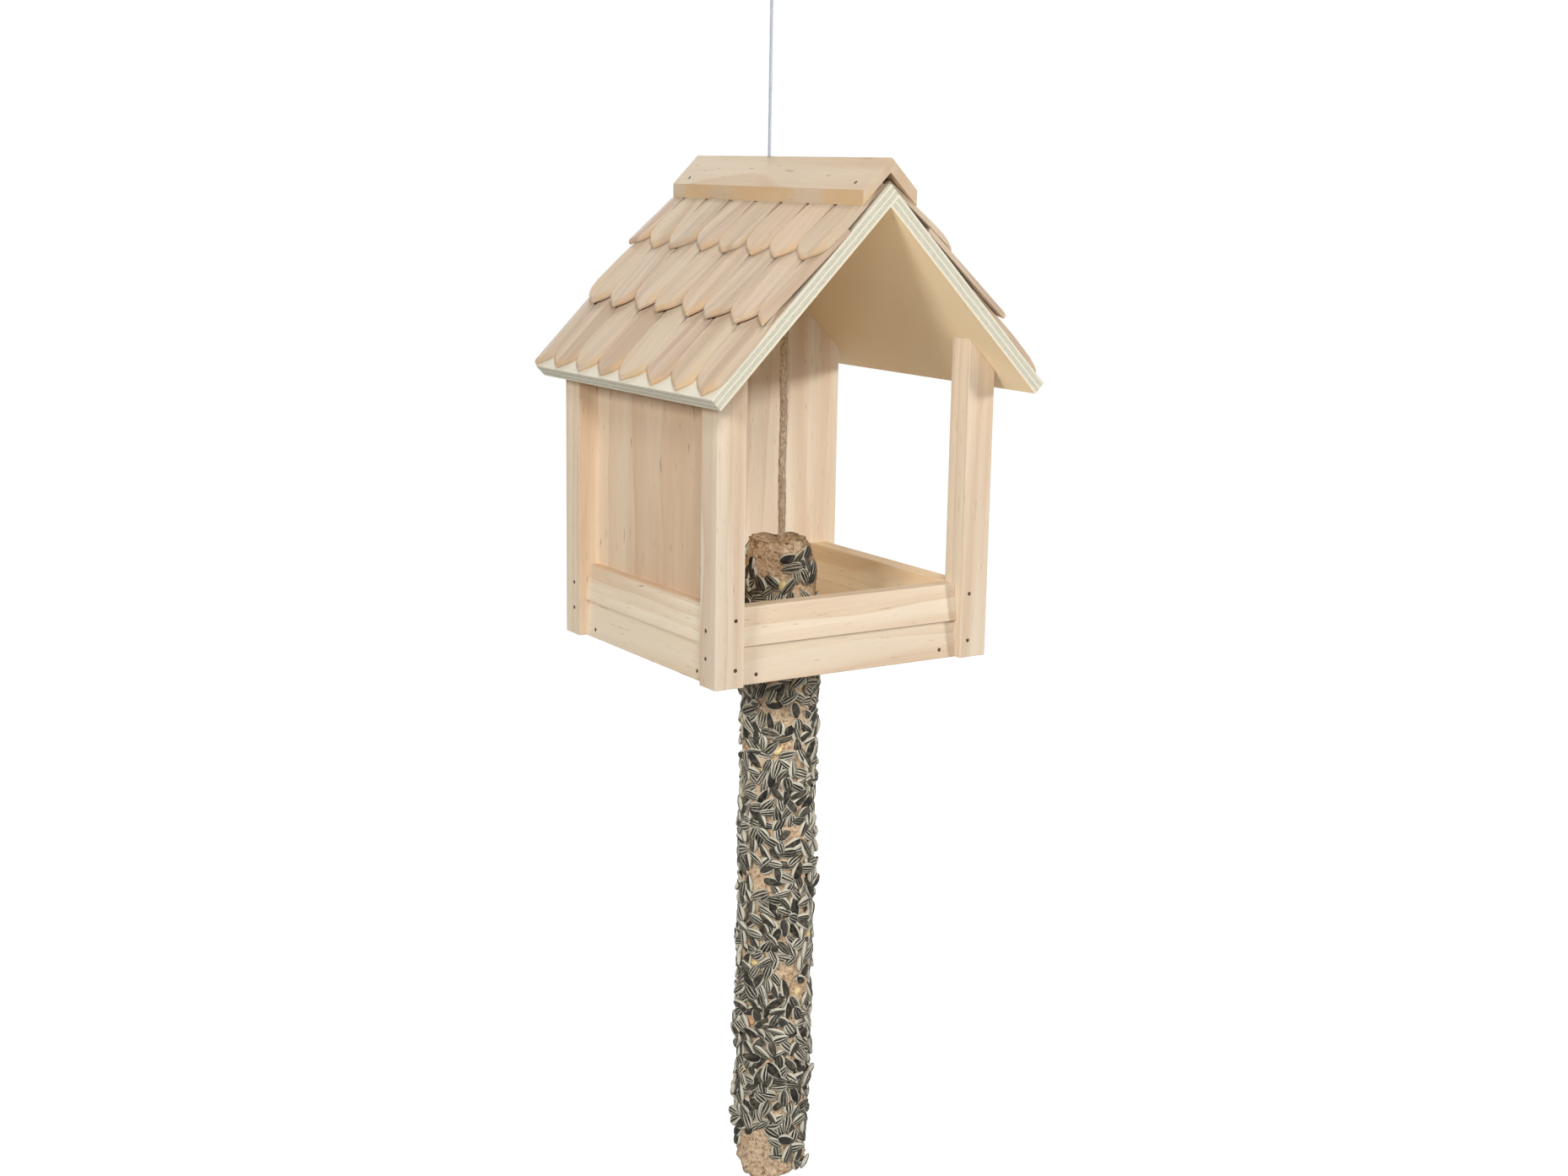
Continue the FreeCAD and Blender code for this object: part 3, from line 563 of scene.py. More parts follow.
SHINGLE_PITCH = (ROOF_BACK - ROOF_FRONT) / SHINGLES_ACROSS
LEAF_COLUMNS = (-1, -0.95, -0.82, -0.6, -0.3, 0, 0.3, 0.6, 0.82, 0.95, 1)
STRAIGHT_ROWS = 10
POINT_ROWS = (0, 0.14, 0.28, 0.42, 0.56, 0.7, 0.82, 0.92, 1)
LEAVES = 8
GEOMETRY = {"Geometry": ["Geometry"]}

split_pine = wood_material(
    "split_pine",
    pale=srgb(245, 226, 197),
    warm=srgb(245, 217, 186),
    late=srgb(208, 178, 152),
    fleck=srgb(126, 98, 76),
    cut=srgb(244, 206, 160),
    ring_share=0.3,
    band_share=0.65,
    fleck_share=0.4,
)


def course_tip(course):
    """Distance from the ridge to a course's points, course 0 being the lowest."""
    return SLOPE_LENGTH - EAVE_MARGIN - course * SHINGLE_EXPOSURE


def course_head(course):
    """Distance from the ridge to a course's upper ends."""
    return RIDGE_SETBACK if course == 2 else course_tip(course + 1) - SHINGLE_HEAD_LAP


def course_rise(course):
    """How steeply a course lifts off the plywood to pass over the heads of the course below."""
    if course == 0:
        return 0.0
    return (SHINGLE_THICKNESS + SHINGLE_SEAT_GAP) / (course_head(course - 1) - course_head(course))


def eased_step(value):
    """0 below 0, 1 above 1, and smooth between."""
    value = min(max(value, 0.0), 1.0)
    return value * value * (3 - 2 * value)


def leaf(side, course, columns=LEAF_COLUMNS, askew=0.0, point=SHINGLE_POINT):
    """One shingle with its middle at Y 0 and its tip askew, or only some of its columns, unlinked."""
    down, out = slope_directions(side)
    half = (SHINGLE_PITCH + SHINGLE_SIDE_LAP) / 2
    head, tip, rise = course_head(course), course_tip(course), course_rise(course)
    shoulder = tip - point
    runs = [head + (shoulder - head) * step / STRAIGHT_ROWS for step in range(STRAIGHT_ROWS)]
    runs += [shoulder + (tip - shoulder) * share for share in POINT_ROWS]
    shape = bmesh.new()
    grain = shape.verts.layers.float_vector.new("grain")
    cut = shape.verts.layers.float.new("cut")
    upper, lower = [], []
    for run in runs:
        share = max(0.0, (run - shoulder) / (tip - shoulder))
        narrowed = HEAD_NARROWING * max(0.0, head + SHINGLE_HEAD_LAP + SHINGLE_CLOSE - run)
        width = max(half * (1 - share) + SHINGLE_BULGE * math.sin(math.pi * share), TIP_HALF_WIDTH)
        skew = askew * share ** SKEW_CURVE
        whittled = eased_step((run - shoulder + WHITTLED_FROM) / WHITTLED_OVER)
        facet = FACET_SAWN + FACET_WHITTLED * whittled
        edge = SHINGLE_THICKNESS - WHITTLED_OFF * whittled
        smudge = eased_step((run - shoulder + SMUDGED_FROM) / SMUDGED_OVER)
        lift = (run - head) * rise
        upper.append([])
        lower.append([])
        for across in columns:
            inward = (1 - abs(across)) * width
            thick = edge + (SHINGLE_THICKNESS - edge) * eased_step(inward / facet)
            faces = ((upper, lift + thick, narrowed), (lower, lift, narrowed * UNDERSIDE_NARROWING))
            for rows, height, taken in faces:
                along = Y_AXIS * (across * (width - taken) + skew)
                corner = shape.verts.new(RIDGE + down * run + out * height + along)
                corner[grain] = (across * width * FINE_GROWN, height * FINE_GROWN, run)
                corner[cut] = SMUDGE * smudge * (1 - eased_step(inward / CUT_MARGIN))
                rows[-1].append(corner)

    def strip(first, second, smooth=False):
        for place in range(len(first) - 1):
            corners = (first[place], first[place + 1], second[place + 1], second[place])
            shape.faces.new(corners).smooth = smooth

    for row in range(len(runs) - 1):
        strip(upper[row], upper[row + 1], smooth=True)
        strip(lower[row], lower[row + 1])
    for end in (0, -1):
        strip(upper[end], lower[end])
        strip([row[end] for row in upper], [row[end] for row in lower])
    return bpy.data.objects.new("leaf", closed_mesh("leaf", shape))


def random_value(tree, low, high, seed, kind="FLOAT"):
    """A random value for each instance or point, with a fixed seed."""
    lowest, output = {"FLOAT_VECTOR": (0, 0), "FLOAT": (2, 1), "INT": (4, 2)}[kind]
    inputs = {lowest: low, lowest + 1: high, "Seed": seed}
    return add(tree, "FunctionNodeRandomValue", inputs, output, data_type=kind)


def stored(geometry, name, value, kind="FLOAT", domain="INSTANCE"):
    """Stores a named value on each instance or point."""
    inputs = {"Geometry": geometry, "Name": name, "Value": value}
    return add(geometry.tree, "GeometryNodeStoreNamedAttribute", inputs, data_type=kind, domain=domain)


def carried(tree, name, kind):
    """A named value that the geometry carries."""
    return add(tree, "GeometryNodeInputNamedAttribute", {"Name": name}, data_type=kind)


def choice(given, *names):
    """The objects of some inputs, to be picked by their number in the list."""
    shapes = add(given.tree, "GeometryNodeGeometryToInstance")
    for name in reversed(names):
        source = add(given.tree, "GeometryNodeObjectInfo", {"Object": given[name]}, "Geometry")
        given.tree.links.new(source.socket, shapes.node.inputs[0])
    return shapes


def hand_over(geometry, material, result):
    """Ends a tree: the instances made real, and their material set."""
    real = add(geometry.tree, "GeometryNodeRealizeInstances", {"Geometry": geometry})
    painted = add(geometry.tree, "GeometryNodeSetMaterial", {"Geometry": real, "Material": material})
    geometry.tree.links.new(painted.socket, result.inputs["Geometry"])


def shingle_course_tree():
    """A course: leaves in a row along Y, a half one at one end, each a little turned, slid and toned."""
    tree, given, result = new_tree(
        "shingle_course", "GeometryNodeTree", GEOMETRY, **GEOMETRY,
        Object=["Leaf", "Left Cut", "Right Cut", "Half Leaf"], Int=["Leaves", "Half Place", "Seed"],
        Float=["First", "Pitch"], Vector=["Down", "Out", "Middle"], Material=["Material"],
    )
    seed = given["Seed"]
    line = add(tree, "GeometryNodeMeshLine", {
        "Count": given["Leaves"],
        "Start Location": add(tree, "ShaderNodeCombineXYZ", {"Y": given["First"]}),
        "Offset": add(tree, "ShaderNodeCombineXYZ", {"Y": given["Pitch"]}),
    })
    number = {2: add(tree, "GeometryNodeInputIndex"), 3: given["Half Place"]}
    is_half = add(tree, "FunctionNodeCompare", number, data_type="INT", operation="EQUAL")
    placed = add(tree, "GeometryNodeInstanceOnPoints", {
        "Points": line, "Instance": choice(given, "Leaf", "Left Cut", "Right Cut", "Half Leaf"),
        "Pick Instance": True,
        "Instance Index": (is_half * 3.0).math("MAXIMUM", random_value(tree, 0, 2, seed, "INT")),
    })
    swing = add(tree, "FunctionNodeAxisAngleToRotation", {
        "Axis": given["Out"], "Angle": random_value(tree, -0.01, 0.01, seed),
    })
    swung = add(tree, "GeometryNodeRotateInstances", {
        "Instances": placed, "Rotation": swing, "Pivot Point": given["Middle"], "Local Space": True,
    })
    slide = given["Down"].scaled(random_value(tree, -0.0014, 0.0, seed))
    lift = given["Out"].scaled(random_value(tree, 0.0, 0.0001, 6))
    slid = add(tree, "GeometryNodeTranslateInstances", {
        "Instances": swung, "Translation": slide.vector("ADD", lift), "Local Space": False,
    })
    yard = random_value(tree, (-1, 0.2, -9), (1, 0.5, 9), seed, "FLOAT_VECTOR")
    tint = random_value(tree, (0.975, 0.96, 0.94), (1.0, 0.99, 0.985), seed, "FLOAT_VECTOR")
    logged = stored(slid, "yard", yard, "FLOAT_VECTOR")
    leaning = stored(logged, "lean", random_value(tree, -0.28, 0.28, seed))
    toned = stored(leaning, "tone", tint.scaled(random_value(tree, 0.63, 0.70, 5)), "FLOAT_COLOR")
    real = add(tree, "GeometryNodeRealizeInstances", {"Geometry": toned})
    grain = carried(tree, "grain", "FLOAT_VECTOR")
    slant = add(tree, "ShaderNodeCombineXYZ", {"X": grain.axis("Z") * carried(tree, "lean", "FLOAT")})
    log = grain.vector("ADD", carried(tree, "yard", "FLOAT_VECTOR")).vector("ADD", slant)
    hand_over(stored(real, "grain", log, "FLOAT_VECTOR", "POINT"), given["Material"], result)
    return tree


def taken_mesh(holder):
    """The plain mesh that an object comes to with its modifiers. The object itself is removed."""
    graph = bpy.context.evaluated_depsgraph_get()
    mesh = bpy.data.meshes.new_from_object(
        holder.evaluated_get(graph), preserve_all_data_layers=True, depsgraph=graph
    )
    holder.modifiers.clear()
    bpy.data.objects.remove(holder)
    return mesh


def grown(name, mesh, tree, **values):
    """The mesh that a node tree makes from a mesh, with the tree's named inputs set."""
    holder = in_scene(name, mesh)
    modifier = holder.modifiers.new(name, "NODES")
    modifier.node_group = tree
    for item in tree.interface.items_tree:
        key = item.name.replace(" ", "_").lower()
        if item.in_out == "INPUT" and key in values:
            modifier[item.identifier] = values[key]
    return taken_mesh(holder)


shingle_course = shingle_course_tree()
for side, name in SLOPES:
    down, out = slope_directions(side)
    for course, level in enumerate(("bottom", "middle", "top")):
        node = f"shingles_{name}_{level}"
        half_last = course % 2 == 0
        middle_column = len(LEAF_COLUMNS) // 2
        half_columns = LEAF_COLUMNS[:middle_column + 1] if half_last else LEAF_COLUMNS[middle_column:]
        mesh = grown(
            node, bpy.data.meshes.new("row"), shingle_course, leaf=leaf(side, course),
            left_cut=leaf(side, course, askew=-0.0036, point=SHINGLE_POINT * 1.15),
            right_cut=leaf(side, course, askew=0.0042, point=SHINGLE_POINT * 0.95),
            half_leaf=leaf(side, course, half_columns), half_place=LEAVES - 1 if half_last else 0,
            first=ROOF_FRONT + (SHINGLE_PITCH / 2 if half_last else 0.0), pitch=SHINGLE_PITCH, leaves=LEAVES,
            middle=RIDGE + down * (course_head(course) + course_tip(course)) / 2, down=down, out=out,
            seed=20 + 3 * course + side, material=split_pine,
        )
        finish_piece(node + "_leaves", mesh, split_pine, "house", [node])


# Hanging cable: galvanised steel rope of six twisted strands, up through the ridge from a crimped stop.
# Its end is doubled back through a crimped aluminium sleeve, as the loop that the feeder hangs by.
CABLE_DIAMETER = 0.002
CABLE_STRANDS = 6
CABLE_TWIST = 0.011
CABLE_STEP = 0.0007
CRIMP_EASE = 0.0003
cable_foot, cable_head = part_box("suspension_cable")[0].z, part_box("suspension_cable")[1].z
loop_foot, loop_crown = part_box("hanging_loop")[0].z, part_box("hanging_loop")[1].z - CABLE_DIAMETER / 2
cable_route = [(0, 0, cable_foot), (0, 0, cable_foot + 6 * CABLE_DIAMETER), (0, 0, cable_head)]
right_leg = [
    (0.0010, 0, loop_foot), (0.0010, 0, loop_foot + 0.007), (0.0080, 0, loop_crown - 0.0135),
    (0.0087, 0, loop_crown - 0.0045), (0.0045, 0, loop_crown),
]
loop_route = right_leg + [(-x, y, z) for x, y, z in reversed(right_leg)]


def smooth_line(name, route):
    """The line of a cord as a mesh of edges, from a smooth spline with the route as its control points."""
    line = bpy.data.curves.new(name, "CURVE")
    line.dimensions = "3D"
    line.resolution_u = 16
    spline = line.splines.new("NURBS")
    spline.points.add(len(route) - 1)
    for point, place in zip(spline.points, route):
        point.co = (*place, 1)
    spline.order_u = 3
    spline.use_endpoint_u = True
    mesh = taken_mesh(in_scene(name, line))
    return mesh, [point.co.copy() for point in mesh.vertices]


def captured(geometry, **values):
    """Geometry with values held fast on its points, each to be had from the flow by its name."""
    node = add(geometry.tree, "GeometryNodeCaptureAttribute", {"Geometry": geometry}, domain="POINT").node
    for name in values:
        node.capture_items.new("FLOAT", name)
    for name, value in values.items():
        geometry.tree.links.new(value.socket, node.inputs[name])
    return Flow(node)


def twisted_strands_tree():
    """Strands laid round a line, each a tube. The grain runs along a strand, for fibres that follow it."""
    tree, given, result = new_tree(
        "twisted_strands", "GeometryNodeTree", GEOMETRY, **GEOMETRY, Int=["Strands", "Sides"],
        Float=["Strand Radius", "Lay Radius", "Twist", "Step", "Unevenness"], Material=["Material"],
    )
    full_turn = 2 * math.pi
    line = add(tree, "GeometryNodeMeshToCurve", {"Mesh": given["Geometry"]})
    line = add(tree, "GeometryNodeSetCurveNormal", {"Curve": line}, mode="MINIMUM_TWIST")
    line = add(tree, "GeometryNodeResampleCurve", {"Curve": line, "Length": given["Step"]}, mode="LENGTH")
    copies = {"Geometry": line, "Amount": given["Strands"]}
    copies = add(tree, "GeometryNodeDuplicateElements", copies, domain="SPLINE")
    length = add(tree, "GeometryNodeSplineParameter", output="Length")
    share = copies["Duplicate Index"] / given["Strands"]
    angle = (length / given["Twist"] + share) * full_turn
    marked = captured(copies, Run=length, Strand=share)
    normal = add(tree, "GeometryNodeInputNormal", output="Normal")
    sideways = add(tree, "GeometryNodeInputTangent").vector("CROSS_PRODUCT", normal)
    out = normal.scaled(angle.math("COSINE") * given["Lay Radius"])
    over = sideways.scaled(angle.math("SINE") * given["Lay Radius"])
    laid = add(tree, "GeometryNodeSetPosition", {"Geometry": marked, "Offset": out.vector("ADD", over)})
    ring = {"Resolution": given["Sides"], "Radius": given["Strand Radius"]}
    ring = add(tree, "GeometryNodeCurvePrimitiveCircle", ring)
    around = captured(ring, Round=add(tree, "GeometryNodeSplineParameter", output="Factor"))
    lumps = add(tree, "ShaderNodeTexNoise", {"Scale": 160.0, "Detail": 1.0})
    tube = add(tree, "GeometryNodeCurveToMesh", {
        "Curve": laid, "Profile Curve": around, "Scale": (lumps - 0.5) * given["Unevenness"] + 1.0,
        "Fill Caps": True,
    })
    girth = given["Strand Radius"] * full_turn
    bearing = around["Round"] * full_turn
    grain = add(tree, "ShaderNodeCombineXYZ", {
        "X": bearing.math("SINE") * girth, "Y": bearing.math("COSINE") * girth + marked["Strand"],
        "Z": marked["Run"],
    })
    grained = stored(tube, "grain", grain, "FLOAT_VECTOR", "POINT")
    hand_over(add(tree, "GeometryNodeSetShadeSmooth", {"Geometry": grained}), given["Material"], result)
    return tree


def blotched(noise_flow, first, second):
    """Two colours in the soft blotches of a noise."""
    return mixed(ramp(noise_flow, (0.35, 0.0), (0.65, 1.0)), first, second)


def metal_material(name, metallic, scale, bright, dull, smoothest, detail=3.0, along_wire=False, relief=0.0):
    """Metal with a film in soft blotches, which shines less where the film is thick."""
    material, tree, shader = new_material(name, smoothest, 0.5, metallic)
    place = attribute(tree, "grain", "Vector") if along_wire else object_place(tree)
    film = streaks(place, scale, detail)
    roughness = ramp(film, (0.3, smoothest), (0.7, smoothest + 0.2))
    lead_in(shader, base_color=blotched(film, bright, dull), roughness=roughness)
    if relief:
        lead_in(shader, normal=bumped(film, relief, 0.0001))
    return material


def declare_cord(piece, path, **facts):
    """Adds up the length of the line that a cord follows, and does nothing more with it."""
    length = sum((after - before).length for before, after in zip(path, path[1:]))


twisted_strands = twisted_strands_tree()
cable_steel = metal_material(
    "cable_steel", 0.85, (3000, 3000, 260), srgb(176, 180, 186), srgb(132, 136, 144), 0.32, along_wire=True
)
aluminium = metal_material(
    "crimp_aluminium", 0.9, (900, 900, 2600), srgb(164, 166, 170), srgb(124, 126, 131), 0.36, 4.0, relief=0.3
)
crimps = {}
for node in ("loop_sleeve", "stop_sleeve"):
    mesh = eased_copy(node, CRIMP_EASE, 3)
    crimps[node] = finish_piece(node + "_crimp", mesh, aluminium, "hanger", [node])
for node, route in (("suspension_cable", cable_route), ("hanging_loop", loop_route)):
    line, path = smooth_line(node, route)
    mesh = grown(
        node, line, twisted_strands, strands=CABLE_STRANDS, strand_radius=CABLE_DIAMETER * 0.17,
        lay_radius=CABLE_DIAMETER * 0.33, twist=CABLE_TWIST, step=CABLE_STEP, sides=7, unevenness=0.0,
        material=cable_steel,
    )
    piece = finish_piece(node + "_rope", mesh, cable_steel, "hanger", [node])
    declare_cord(
        piece, path, diameter=CABLE_DIAMETER, far_end="fitting", stiffness="stiff",
        with_pieces=[crimps["loop_sleeve"]],
    )


# Washer under the ridge and screw hook: zinc-plated steel. The washer bears on both slopes and carries the
# house. The hook is bent wire, screwed into the ridge, and carries the seed stick.
PLATED_EASE = 0.0002
HOOK_WIRE = 0.0026
HOOK_STEP = 0.0007
BOWL = 0.007
hook_low, hook_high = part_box("screw_hook")
HOOK_Y = (hook_low.y + hook_high.y) / 2
HOOK_SEAT = hook_low.z + HOOK_WIRE / 2
HOOK_TOP = hook_high.z

plated = metal_material(
    "plated_steel", 0.95, (420, 420, 420), srgb(198, 198, 192), srgb(172, 170, 158), 0.22
)
washer = eased_copy("stop_washer", PLATED_EASE, 2)
finish_piece("stop_washer_plate", washer, plated, "house", ["stop_washer"])
hook_route = [
    (0, HOOK_Y, HOOK_TOP), (0, HOOK_Y, HOOK_TOP - 0.009), (0, HOOK_Y, HOOK_SEAT + 0.0185),
    (-0.0022, HOOK_Y, HOOK_SEAT + 0.0128), (-BOWL - 0.0004, HOOK_Y, HOOK_SEAT + 0.0112),
    (-BOWL - 0.0004, HOOK_Y, HOOK_SEAT + 0.0028), (-BOWL * 0.5, HOOK_Y, HOOK_SEAT - 0.0004),
    (BOWL * 0.5, HOOK_Y, HOOK_SEAT - 0.0004), (BOWL + 0.0004, HOOK_Y, HOOK_SEAT + 0.0028),
    (BOWL, HOOK_Y, HOOK_SEAT + 0.0085), (BOWL, HOOK_Y, HOOK_SEAT + 0.0105),
]
line, path = smooth_line("screw_hook", hook_route)
wire = grown(
    "screw_hook", line, twisted_strands, strands=1, strand_radius=HOOK_WIRE / 2, lay_radius=0.0, twist=1.0,
    step=HOOK_STEP, sides=14, unevenness=0.0, material=plated,
)
finish_piece("screw_hook_wire", wire, plated, "house", ["screw_hook"])


# Jute cord: natural twine of three twisted plies, brown and hairy. An eye goes over the hook, its ends wind
# into a barrel knot, and a straight run goes down into the head of the seed stick.
JUTE_DIAMETER = 0.004
JUTE_PLIES = 3
JUTE_TWIST = 0.026
JUTE_STEP = 0.0009
PLY_RADIUS = 0.00175
LAY_RADIUS = 0.00075
EYE_RADIUS = 0.0036
KNOT_TURNS = 3
KNOT_RADIUS = 0.0034
KNOT_WIDTH = 0.0086
KNOT_POINTS = 12 * KNOT_TURNS
HAIR_LENGTH = 0.0036
HAIR_RADIUS = 0.00007
HAIR_RINGS = 5
FULL_SPIN = 6.28

jute, tree, shader = new_material("jute_twine", 0.9, 0.1)
place = attribute(tree, "grain", "Vector")
fibres = streaks(place, (720, 720, 420), 5.0)
dirt = streaks(place, (260, 260, 120), 2.0)
fibre_colour = mixed(ramp(fibres, (0.4, 0.0), (0.6, 1.0)), srgb(252, 236, 210), srgb(160, 127, 94))
worn = mixed(ramp(dirt, (0.45, 0.0), (0.75, 0.4)), fibre_colour, srgb(168, 138, 106))
shader.inputs["Sheen Weight"].default_value = 0.25
lead_in(shader, base_color=worn, normal=bumped(fibres, 0.8, 0.0006))


def small_object(name, rings, grain):
    """An unlinked object skinned over rings, with a grain for each point, to be scattered."""
    mesh = lofted(name, [rings])
    carry(mesh, "grain", "FLOAT_VECTOR", grain)
    return bpy.data.objects.new(name, mesh)


def loose_fibre_object():
    """One loose fibre: a thin three-sided thread, bent over, standing on the origin."""
    rings, grain = [], []
    for step in range(HAIR_RINGS):
        share = step / (HAIR_RINGS - 1)
        radius = HAIR_RADIUS * (1 - 0.7 * share)
        bend, height = HAIR_LENGTH * 0.8 * share * share, HAIR_LENGTH * (share - 0.4 * share * share)
        spokes = [(radius * math.cos(angle), radius * math.sin(angle)) for angle in bearings(3)]
        rings.append([(x + bend, y, height) for x, y in spokes])
        grain += [(0.3, 0.1, share * 0.004)] * len(spokes)
    return small_object("loose_fibre", rings, grain)


def turned(rotation, axis, angle):
    """A rotation turned further about one of its own axes."""
    by = add(rotation.tree, "FunctionNodeAxisAngleToRotation", {"Axis": axis, "Angle": angle})
    inputs = {"Rotation": rotation, "Rotate By": by}
    return add(rotation.tree, "FunctionNodeRotateRotation", inputs, rotation_space="LOCAL")


def hairy_twine_tree():
    """Loose fibres that stand on a twine, scattered over it, each turned and scaled its own way."""
    tree, given, result = new_tree(
        "hairy_twine", "GeometryNodeTree", GEOMETRY, **GEOMETRY, Object=["Fibre"], Float=["Density"],
        Int=["Seed"], Material=["Material"],
    )
    spots = add(tree, "GeometryNodeDistributePointsOnFaces", {
        "Mesh": given["Geometry"], "Density": given["Density"], "Seed": given["Seed"],
    })
    spun = turned(spots["Rotation"], (0, 0, 1), random_value(tree, 0.0, FULL_SPIN, given["Seed"]))
    source = {"Object": given["Fibre"], "As Instance": True}
    hairs = add(tree, "GeometryNodeInstanceOnPoints", {
        "Points": spots, "Instance": add(tree, "GeometryNodeObjectInfo", source, "Geometry"),
        "Rotation": turned(spun, (0, 1, 0), random_value(tree, 0.5, 1.35, 8)),
        "Scale": random_value(tree, 0.25, 1.0, 3),
    })
    hand_over(hairs, given["Material"], result)
    return tree


hairy_twine = hairy_twine_tree()
loose_fibre = loose_fibre_object()


def jute_piece(node, route, body, seed, density):
    """A length of hairy twine along a route, for a CAD node. Returns it, its loose fibres and its line."""
    line, path = smooth_line(node, route)
    plies = grown(
        node, line, twisted_strands, strands=JUTE_PLIES, strand_radius=PLY_RADIUS, lay_radius=LAY_RADIUS,
        twist=JUTE_TWIST, step=JUTE_STEP, sides=9, unevenness=0.55, material=jute,
    )
    fuzz = grown(
        node, plies.copy(), hairy_twine, fibre=loose_fibre, density=density, seed=seed, material=jute
    )
    twine = finish_piece(node + "_twine", plies, jute, body, [node])
    return twine, finish_piece(node + "_fuzz", fuzz, jute, body, []), path


eye_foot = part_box("jute_eye")[0].z
eye_route = [
    (0, HOOK_Y + EYE_RADIUS, eye_foot), (0, HOOK_Y + EYE_RADIUS, HOOK_SEAT - 0.004),
    (0, HOOK_Y + EYE_RADIUS, HOOK_SEAT + EYE_RADIUS * 0.9), (0, HOOK_Y, HOOK_SEAT + EYE_RADIUS * 1.22),
    (0, HOOK_Y - EYE_RADIUS, HOOK_SEAT + EYE_RADIUS * 0.9), (0, HOOK_Y - EYE_RADIUS, HOOK_SEAT - 0.004),
    (0, HOOK_Y - EYE_RADIUS, eye_foot),
]
knot_low, knot_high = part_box("jute_knot")
KNOT_Z = (knot_low.z + knot_high.z) / 2
knot_route = []
for step in range(KNOT_POINTS + 1):
    share = step / KNOT_POINTS
    angle = 2 * math.pi * KNOT_TURNS * share
    sideways = HOOK_Y + (share - 0.5) * KNOT_WIDTH
    knot_route.append((KNOT_RADIUS * math.sin(angle), sideways, KNOT_Z + KNOT_RADIUS * math.cos(angle)))
run_foot, run_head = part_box("jute_cord")[0].z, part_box("jute_cord")[1].z
run_route = [
    (0, HOOK_Y, run_head), (0.0002, HOOK_Y, run_head - 6 * JUTE_DIAMETER),
    (-0.0009, HOOK_Y - 0.0005, run_head - 0.052), (0.0010, HOOK_Y + 0.0006, run_head - 0.081),
    (-0.0007, HOOK_Y - 0.0004, run_head - 0.112), (0.0004, HOOK_Y, run_head - 0.14), (0, HOOK_Y, run_foot),
]
knot, knot_fuzz, _ = jute_piece("jute_knot", knot_route, "cord_knot", 5, 300000.0)
eye, eye_fuzz, eye_path = jute_piece("jute_eye", eye_route, "cord_eye", 6, 280000.0)
run, run_fuzz, run_path = jute_piece("jute_cord", run_route, "seed_stick", 7, 280000.0)
for piece, path, far_end, others in (
    (eye, eye_path, "knot", [knot, knot_fuzz, eye_fuzz]), (run, run_path, "object", [run_fuzz])
):
    declare_cord(piece, path, diameter=JUTE_DIAMETER, far_end=far_end, stiffness="limp", with_pieces=others)


# Seed stick's core: fat, flour and meal pressed into a rough bar, crumbly, tan and speckled with bran.
# The jute cord is moulded into its head, which has a groove across it and one side broken off, and the foot
# is broken off aslant.
core_low, core_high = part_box("stick_core")
CORE_RADIUS = (core_high.x - core_low.x) / 2
CORE_END_RADIUS = 0.0200
CORE_SHOULDER = 0.009
CORE_FOOT_RADIUS = 0.0195
CORE_FOOT_EDGE = 0.0212
CORE_FOOT_RISE = 0.006
CORE_ROUND = 96
CORE_STEPS = 150
END_FACE = 0.0005
END_LUMPS, END_LUMP_DEPTH, END_SUNK = 130, 0.0036, 0.0012
SKIN_CRUMBS = ((75, 0.0011), (260, 0.0007), (620, 0.0004))
SKIN_SUNK = 0.0004
BROKEN_CORNER = Vector((0.84, -0.54, 0))
BROKEN_FROM, BROKEN_OVER = 0.3, 0.5
BROKEN_DEPTH = 0.0055
BROKEN_DROP = 0.4
BROKEN_REACH = 0.022
CHIPS_TO_METRE = 210
CHIP_DEPTH = 0.0026
CHIP_REACH = 0.045
GROOVE_DEPTH = 0.0022
GROOVE_HALF_WIDTH = 0.0085
GROOVE_REACH = 0.009
GROOVE_OFFSET = 0.003
FOOT_POINT = -0.006
FOOT_SLANT = 0.024
FOOT_SHORT = 0.004
FOOT_SLOPES = (0.4, -0.5)

meal, tree, shader = new_material("pressed_meal", 0.85, 0.15)
place = object_place(tree)
crumbs = streaks(place, (430, 430, 430), 5.0)
patches = streaks(place, (60, 60, 60), 3.0)
bran = ramp(streaks(place, (700, 700, 700), 2.0), (0.58, 0.0), (0.66, 1.0))
# Painted shade: small dark brown spots stand in for the shade in the little hollows between the crumbs.
painted_pit_shade = ramp(streaks(place, (420, 420, 420), 3.0), (0.36, 1.0), (0.45, 0.0))
colour = blotched(patches, srgb(216, 187, 153), srgb(184, 147, 113))
colour = blotched(crumbs, colour, srgb(226, 202, 170))
colour = mixed(bran * 0.5, colour, srgb(160, 114, 82))
colour = mixed(painted_pit_shade * 0.7, colour, srgb(122, 86, 60))
lead_in(shader, base_color=colour, normal=bumped(crumbs, 1.0, 0.0022))

